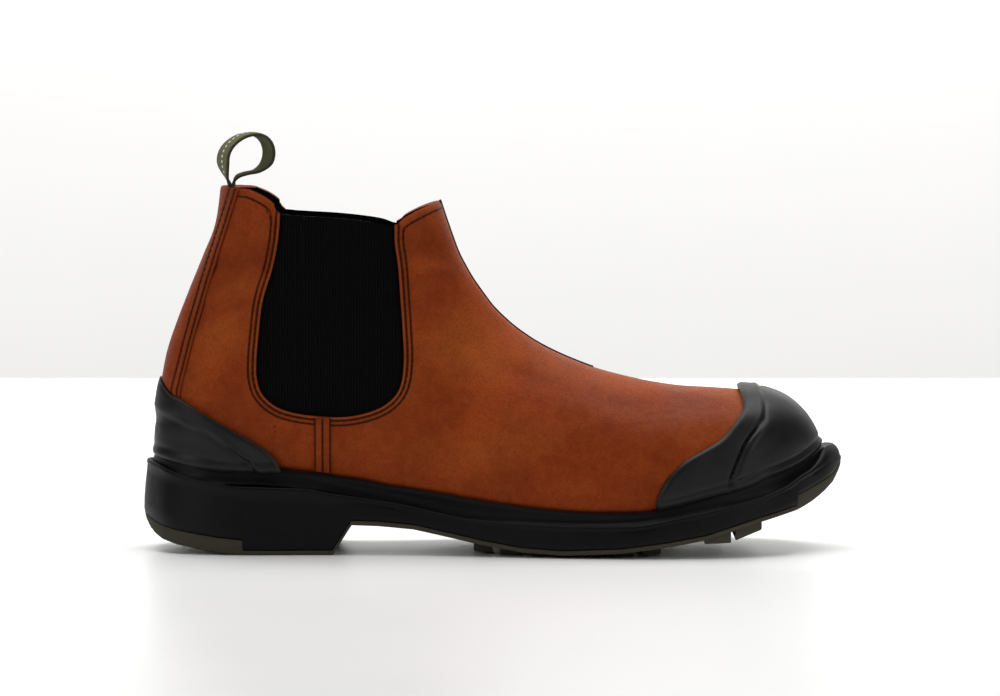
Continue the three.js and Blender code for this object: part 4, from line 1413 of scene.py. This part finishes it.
class MakeSole(Piece):
    """Makes the black sole: its side wall, the ledge on top and the rand"""

    bl_idname = "boot.make_sole"
    bl_label = "Black sole"

    def make(self):
        self.make_wall()
        self.make_rand()

    def make_wall(self):
        """Makes the side wall, from under its lower edge over its lip to the foot of the rand."""
        size = sizes()

        def row(inset, share, drop=0.0, heel=0.0, toe=0.0, fall=0.0):
            """A row at a share of the wall's height less a drop, and farther in at the heel and at the toe,
            where it may fall more."""

            def insets(x):
                return MM * (inset + heel * heel_end(x) + toe * toe_end(x))

            def heights(x):
                low = seam_at(x) + size.clearance
                return low + share * (groove_at(x) - low) - MM * (drop + fall * toe_end(x))

            return insets, heights

        rows = [
            row(9, 1, 1.5), row(3.2, 1, 1.2, 0, 1, -1.9), row(2.3, 1, 0.9, 0.3, 1.6, -1.8),
            row(1.9, 1, 0.5, 0.4, 1.8, -1.3), row(1.5, 1, 0.1, 0.5, 1.9, -0.6),
            row(0.9, 1, 0, 0.6, 1.9, -0.1), row(0.4, 1, 0.12, 0.7, 1.7, 0.5),
            row(0.1, 1, 0.5, 0.7, 1.4, 1.1), row(0, 1, 1.0, 0.7, 1.1, 1.5),
            row(0.05, 1, 1.7, 0.6, 0.8, 1.6), row(0.4, 1, 2.1, 0.5, 0.4, 1.9),
            row(0.35, 0.75, 0, 0.2, 0, 3), row(0.25, 0.5, 0, -0.3, 0, 1.8),
            row(0.2, 0.25, 0, -0.7, 0, 0.8), row(0.2, 0, -0.5, -0.8), row(0.45, 0, -0.12, -0.8),
            row(0.8, 0, 0, -0.8), row(9, 0),
        ]
        wall = sole_mesh(along_sole(TREAD_LINE["at"][1:-1]), rows)
        piece = meshed("sole_wall", wall, finish("sole rubber"))
        sharpen(piece, 50)
        dress(piece, "sole_rubber", "midsole")

    def make_rand(self):
        """Makes the band that stands up round the upper."""
        size = sizes()
        top = rand_line()
        foot = side_line(GROOVE_LINE, along_sole)

        def depth(place, turn):
            points = side_points(place, turn)
            kept = np.minimum(-over(points, top), over(points, foot, -0.5 * size.rand))
            under_toe = (np.abs(turn) - RAND_TOE_TURN) * size.ball_width
            return np.minimum(kept, FAR * ramp(RAND_TOE_PLACE - place, 0, 3) - under_toe)

        def skin(place, turn):
            below = -over(side_points(place, turn), top)
            offset = size.clearance + size.rand - rounded(below, 0.8 * MM, 0.9 * MM)
            return offset, {}

        (outer, _), (inner, _) = sole_plan([along_sole(0.5)])
        plan = np.vstack([outer, inner[-2:0:-1]])

        def pull(points):
            x, z = points[:, 0], points[:, 2]
            top_z, foot_z = np.interp(x, *top.T), np.interp(x, *foot.T)
            share = np.clip((top_z - z) / (top_z - foot_z), 0, 1)
            ledge = MM * (2 + 0.6 * heel_end(x) + 1.6 * toe_end(x))
            on_heel = ramp(along_sole(0.3) - x, 0, 0.1 * size.last_length)
            return (inside(points[:, :2], plan) - ledge) * share ** (1.5 - 0.8 * on_heel)

        for name, turns in (("outer", (0.2, 1)), ("inner", (-1, -0.2))):
            grid = trimmed_grid(PLACES["rand"], turns, 1.1 * MM, depth)
            piece = wrap(f"rand_{name}", grid, skin, finish("sole rubber"), pull=pull)
            thicken(piece, size.rand - 0.4 * MM)
            dress(piece, "sole_rubber", "midsole")


class MakeOutsole(Piece):
    """Makes the olive outsole with its bars"""

    bl_idname = "boot.make_outsole"
    bl_label = "Outsole"

    def make(self):
        size = sizes()
        grooves = heel_grooves()
        slope = 0.25 * MM

        def under(x):
            depth = np.zeros(np.shape(x))
            for start, end in grooves:
                depth = np.maximum(depth, np.clip(np.minimum(x - start, end - x) / slope, 0, 1))
            return tread_at(x) + size.heel_groove_depth * depth

        def row(inset, level, lift=0.0):
            return (lambda x: inset - 0.8 * MM * heel_end(x)), (lambda x: level(x) + lift)

        margin = size.tread_margin
        rows = [
            row(0.8 * MM, seam_at), row(0.5 * MM, seam_at), row(0.4 * MM, seam_at, -0.15 * MM),
            row(0.45 * MM, tread_at, 0.7 * MM), row(0.6 * MM, tread_at, 0.25 * MM), row(1.1 * MM, tread_at),
            row(margin - 0.2 * MM, tread_at), row(margin, under), row(2 * margin, under),
        ]
        edges = [x for start, end in grooves for x in (start, start + slope, end - slope, end)]
        corners = np.sort(np.concatenate([along_sole(TREAD_LINE["at"][1:-1]), edges]))
        shell = sole_mesh(corners, rows)
        self.add_bars(shell)
        piece = meshed("outsole_tread", shell, finish("tread rubber"))
        sharpen(piece, 40)
        dress(piece, "tread_rubber", "outsole")

    def add_bars(self, shell):
        """Adds the bars under the ball and the toes."""
        size = sizes()
        (outer, _), (inner, _) = sole_plan([along_sole(0.5)])
        for start, end, margin, start_level, end_level in zip(*BARS.values()):
            inset = margin * size.tread_margin + 0.5 * MM
            bar = bmesh.ops.create_cube(shell, size=1)["verts"]
            for vertex in bar:
                at, level = (start, start_level) if vertex.co.x < 0 else (end, end_level)
                x = along_sole(at)
                y = np.interp(x, *outer.T) + inset if vertex.co.y < 0 else np.interp(x, *inner.T) - inset
                z = height(level) if vertex.co.z < 0 else tread_at(x) + size.sole_layer / 2
                vertex.co = (x, y, z)
            edges = {edge for vertex in bar for edge in vertex.link_edges}
            bmesh.ops.bevel(
                shell, geom=list(edges), offset=0.6 * MM, offset_type="OFFSET", affect="EDGES", segments=2,
                profile=0.5, material=-1,
            )


class MakePullLoop(Piece):
    """Makes the pull loop of folded tape"""

    bl_idname = "boot.make_pull_loop"
    bl_label = "Pull loop"

    def make(self):
        size = sizes()
        back_x, back_z = along_last(COLLAR_LINE["at"][0]), height(COLLAR_LINE["level"][0])
        count = 200
        place = np.linspace(0, len(LOOP["up"]) - 1, count)
        forward, up = smooth(LOOP["forward"], place), smooth(LOOP["up"], place)
        walked = walked_along(np.stack([forward * size.loop_length, up * size.loop_height], axis=-1))
        tape = bmesh.new()
        rows = 12
        bmesh.ops.create_grid(tape, x_segments=count - 1, y_segments=rows, size=0.5, calc_uvs=True)
        flat = tape.loops.layers.uv.new("tape")
        along = {}
        for vertex in tape.verts:
            k = grid_row(vertex.co.x, count)
            across = vertex.co.y
            along[vertex.index] = (walked[k], (across + 0.5) * size.tape_width)
            turned = LOOP_TURN * across * ramp(up[k], 0, 0.5)
            cupped = 0.5 * MM * (1 - (2 * across) ** 2) * np.clip(up[k], 0, 1)
            vertex.co = (
                back_x + (forward[k] - turned) * size.loop_length,
                across * size.tape_width,
                back_z + up[k] * size.loop_height + cupped,
            )
        for face in tape.faces:
            for corner in face.loops:
                corner[flat].uv = along[corner.vert.index]
        piece = meshed("pull_loop_tape", tape, finish("woven tape"), finish("plain tape"))
        solidify = piece.modifiers.new("tape", "SOLIDIFY")
        solidify.thickness = size.tape
        solidify.offset = 0
        solidify.material_offset = 1
        bevel = piece.modifiers.new("edges", "BEVEL")
        bevel.width = 0.3 * MM
        bevel.segments = 2
        bevel.limit_method = "ANGLE"
        sharpen(piece, 60)
        dress(piece, "webbing", "pull_loop")


# Stitches

def walk(line, pitch):
    """Points along a side-view line, a pitch apart, and points a little farther along it."""
    walked = walked_along(line)
    at = np.arange(pitch / 2, walked[-1], pitch)
    points = np.stack([np.interp(at, walked, line[:, k]) for k in (0, 1)], axis=-1)
    farther = np.stack([np.interp(at + 0.3 * MM, walked, line[:, k]) for k in (0, 1)], axis=-1)
    return points, farther


def sew(mesh, line, side, lift):
    """Adds stitches along a side-view line on one side of the boot, at a height over the last's skin."""
    size = sizes()
    points, farther = walk(line, size.stitch_pitch)
    if not len(points):
        return
    place, turn = on_side(points, side)
    next_place, next_turn = on_side(farther, side)
    normal = last_normals(place, turn)
    middle = last_points(place, turn) + lift * normal
    run = last_points(next_place, next_turn) - last_points(place, turn)
    for centre, up, forward in zip(middle, normal, run):
        up = Vector(up).normalized()
        forward = Vector(forward)
        forward = (forward - forward.dot(up) * up).normalized()
        turned = Matrix((forward, up.cross(forward), up)).transposed().to_4x4()
        shape = Matrix.Diagonal((size.stitch / 2, size.thread / 2, size.thread / 2, 1))
        bmesh.ops.create_uvsphere(
            mesh, u_segments=6, v_segments=5, radius=1,
            matrix=Matrix.Translation(Vector(centre)) @ turned @ shape @ Matrix.Rotation(math.pi / 2, 4, "Y"),
        )


class MakeStitches(Piece):
    """Sews the rows of stitches"""

    bl_idname = "boot.make_stitches"
    bl_label = "Stitches"

    def make(self):
        size = sizes()
        threads = bmesh.new()
        gusset = side_line(GUSSET_LINE)
        collar = side_line(COLLAR_LINE)
        strip_low, strip_high = BACKSTAY_STITCHES
        collar_start, collar_end = along_last(np.array(COLLAR_STITCHES))
        back_part = collar[(collar[:, 0] > collar_start) & (collar[:, 0] < gusset[0, 0])]
        front_part = collar[(collar[:, 0] > gusset[-1, 0]) & (collar[:, 0] < collar_end)]
        edge = np.vstack([back_part, gusset, front_part])
        back = side_line(BACKSTAY_LINE, bends=20)
        seam_x = along_last(SEAM_START)
        seam_top = height(SEAM_STITCH_TOP)
        seam_low = height(np.interp(seam_x, along_sole(RAND_LINE["at"]), RAND_LINE["level"])) + 1 * MM
        for side in (1, -1):
            row = grown(gusset, size.inner_row)
            sew(threads, row[row[:, 1] < height(GUSSET_STITCH_TOP)], side, 0)
            row = grown(edge, size.outer_row)
            apart = np.linalg.norm(row[:, None] - edge, axis=2).min(axis=1)
            sew(threads, row[apart > 0.975 * size.outer_row], side, 0)
            for distance in (size.strip_row, size.strip_row + size.strip_gap):
                row = back - (distance, 0)
                row = row[(row[:, 1] < height(strip_high)) & (row[:, 1] > height(strip_low))]
                sew(threads, row, side, size.strip_height)
            for share, lift in ((0.03, 0.4 * MM), (0.5, size.strip_height), (0.97, 0.4 * MM)):
                x = seam_x + share * size.seam_width
                sew(threads, np.array([[x, seam_top], [x, seam_low]]), side, lift)
        piece = meshed("stitches", threads, finish("waxed thread"))
        piece.data.shade_smooth()
        dress(piece, "upper_leather")


class MakeFrontSeam(Piece):
    """Makes the dark cord in the front seam, from the collar down to the vamp"""

    bl_idname = "boot.make_front_seam"
    bl_label = "Front seam"

    def make(self):
        size = sizes()
        value = sections()
        fine = np.linspace(0, LAST_PLACE, 4000)
        x, z = smooth(value["front_x"], fine), smooth(value["front_z"], fine)
        top = height(COLLAR_LINE["level"][-1])
        kept = fine[(z < top) & (x < along_last(FRONT_SEAM_END))]
        place = np.linspace(kept[0], kept[-1], 160)
        turn = np.zeros(len(place))
        up = last_normals(place, turn)
        middle = last_points(place, turn)
        cord = bmesh.new()
        around = 8
        bmesh.ops.create_grid(cord, x_segments=len(place) - 1, y_segments=around, size=0.5)
        for vertex in cord.verts:
            k = grid_row(vertex.co.x, len(place))
            angle = math.tau * (vertex.co.y + 0.5)
            radius = size.front_cord / 2
            out = middle[k] + radius * math.cos(angle) * up[k]
            vertex.co = (out[0], out[1] + radius * math.sin(angle), out[2])
        bmesh.ops.remove_doubles(cord, verts=cord.verts, dist=1e-6)
        bmesh.ops.holes_fill(cord, edges=[edge for edge in cord.edges if edge.is_boundary], sides=around)
        bmesh.ops.recalc_face_normals(cord, faces=cord.faces)
        piece = meshed("front_seam_cord", cord, finish("waxed thread"))
        piece.data.shade_smooth()
        dress(piece, "upper_leather")


class MakeInsole(Piece):
    """Gives the insole its textile"""

    bl_idname = "boot.make_insole"
    bl_label = "Insole"

    def make(self):
        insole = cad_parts["insole"]
        insole.data.materials.clear()
        insole.data.materials.append(finish("insole textile"))


# Stage

# The table top and the backdrop, the lights, with where each stands, what it looks at, its two sizes and its
# power in watts, and the camera.
TABLE_NEAR, TABLE_FAR = -1.2, 1.12
TABLE_WIDTH = 4.0
TABLE_MIDDLE = 0.09
BACKDROP_SIZE = (12, 6)
BACKDROP_PLACE = (0, 3.4, 0.6)
LAMPS = (
    ("top light", (0.1, 0.2, 1.5), (0.09, 0.0, 0), (1.7, 1.1), 27),
    ("left light", (-1.6, -1.5, 0.9), (0.05, 0, 0.08), (0.8, 1.1), 11),
    ("right light", (1.75, -1.5, 0.9), (0.12, 0, 0.08), (0.8, 1.1), 11),
    ("backdrop light", (0.15, 1.4, 2.0), (0.15, 3.4, 0.2), (5.0, 0.8), 165),
)
WORLD_STRENGTH = 0.06
CAMERA_PLACE = (0.0917, -2.495, 0.2404)
CAMERA_AIM = (0.0917, 0, 0.0878)
CAMERA_LENS = 205
CAMERA_SENSOR = 36


def lamp(name, place, target, size, power):
    """A soft square light that looks at a target."""
    light = bpy.data.lights.new(name, "AREA")
    light.shape = "RECTANGLE"
    light.size, light.size_y = size
    light.energy = power
    made = bpy.data.objects.new(name, light)
    made.location = place
    made.rotation_euler = (Vector(target) - Vector(place)).to_track_quat("-Z", "Y").to_euler()
    bpy.context.scene.collection.objects.link(made)


def stage_material(name, tone, roughness):
    """A plain, faintly uneven studio surface."""
    material, tree, shader = new_material(name, Specular_IOR_Level=0.3)
    clouds = effect(tree, "Mottle", place=object_place(tree), scale=2.0)["Clouds"]
    paint(tree, shader, mixed(tree, clouds, tone, scaled(tone, 0.985)))
    roughen(tree, shader, clouds, 0.05, roughness)
    return material


class MakeStage(Piece):
    """Makes the table top, the backdrop, the lights and the camera"""

    bl_idname = "boot.make_stage"
    bl_label = "Stage"

    def make(self):
        tones = colours()
        scene = bpy.context.scene
        table_top = self.sheet("table top", (TABLE_WIDTH, TABLE_FAR - TABLE_NEAR), tones.floor, 0.3)
        table_top.data.transform(Matrix.Translation((TABLE_MIDDLE, (TABLE_FAR + TABLE_NEAR) / 2, 0)))
        upright = Matrix.Rotation(math.pi / 2, 4, "X")
        backdrop = self.sheet("backdrop", BACKDROP_SIZE, tones.wall, 0.9)
        backdrop.data.transform(Matrix.Translation(BACKDROP_PLACE) @ upright)
        for name, place, target, size, power in LAMPS:
            lamp(name, place, target, size, power)
        world = bpy.data.worlds.new("studio")
        world.use_nodes = True
        background = world.node_tree.nodes["Background"].inputs
        background["Color"].default_value = (1, 1, 1, 1)
        background["Strength"].default_value = WORLD_STRENGTH
        scene.world = world
        scene.view_settings.view_transform = "Standard"
        camera = bpy.data.objects.new("camera", bpy.data.cameras.new("camera"))
        camera.data.lens = CAMERA_LENS
        camera.data.sensor_width = CAMERA_SENSOR
        camera.location = CAMERA_PLACE
        look = Vector(CAMERA_AIM) - camera.location
        camera.rotation_euler = look.to_track_quat("-Z", "Y").to_euler()
        scene.collection.objects.link(camera)
        scene.camera = camera

    def sheet(self, name, size, tone, roughness):
        """A flat sheet of the stage."""
        flat = bmesh.new()
        bmesh.ops.create_grid(flat, x_segments=1, y_segments=1, size=0.5)
        for vertex in flat.verts:
            vertex.co = (vertex.co.x * size[0], vertex.co.y * size[1], 0)
        return meshed(name, flat, stage_material(name, tone, roughness))


class BootPanel(bpy.types.Panel):
    """Sizes, colours and the pieces of the boot"""

    bl_idname = "BOOT_PT_pieces"
    bl_label = "Ankle work boot"
    bl_space_type = "VIEW_3D"
    bl_region_type = "UI"
    bl_category = "Boot"

    def draw(self, context):
        for operator in OPERATORS:
            self.layout.operator(operator.bl_idname)
        for group_name in ("boot_sizes", "boot_colours"):
            values = getattr(context.scene, group_name)
            for key in values.__annotations__:
                self.layout.prop(values, key)


OPERATORS = (
    MakeStage, MakeUpper, MakeGussets, MakeToeCap, MakeHeelCounter, MakeStrips, MakeSole, MakeOutsole,
    MakePullLoop, MakeStitches, MakeFrontSeam, MakeInsole,
)
CLASSES = (BootSizes, BootColours, *OPERATORS, BootPanel)


def register():
    """Registers the classes and the scene's sizes and colours."""
    for item in CLASSES:
        bpy.utils.register_class(item)
    bpy.types.Scene.boot_sizes = bpy.props.PointerProperty(type=BootSizes)
    bpy.types.Scene.boot_colours = bpy.props.PointerProperty(type=BootColours)


def unregister():
    """Takes them away again."""
    del bpy.types.Scene.boot_colours
    del bpy.types.Scene.boot_sizes
    for item in reversed(CLASSES):
        bpy.utils.unregister_class(item)


def main():
    """Makes every piece."""
    register()
    for operator in OPERATORS:
        getattr(bpy.ops.boot, operator.bl_idname.split(".")[1])()


if __name__ == "__main__":
    main()
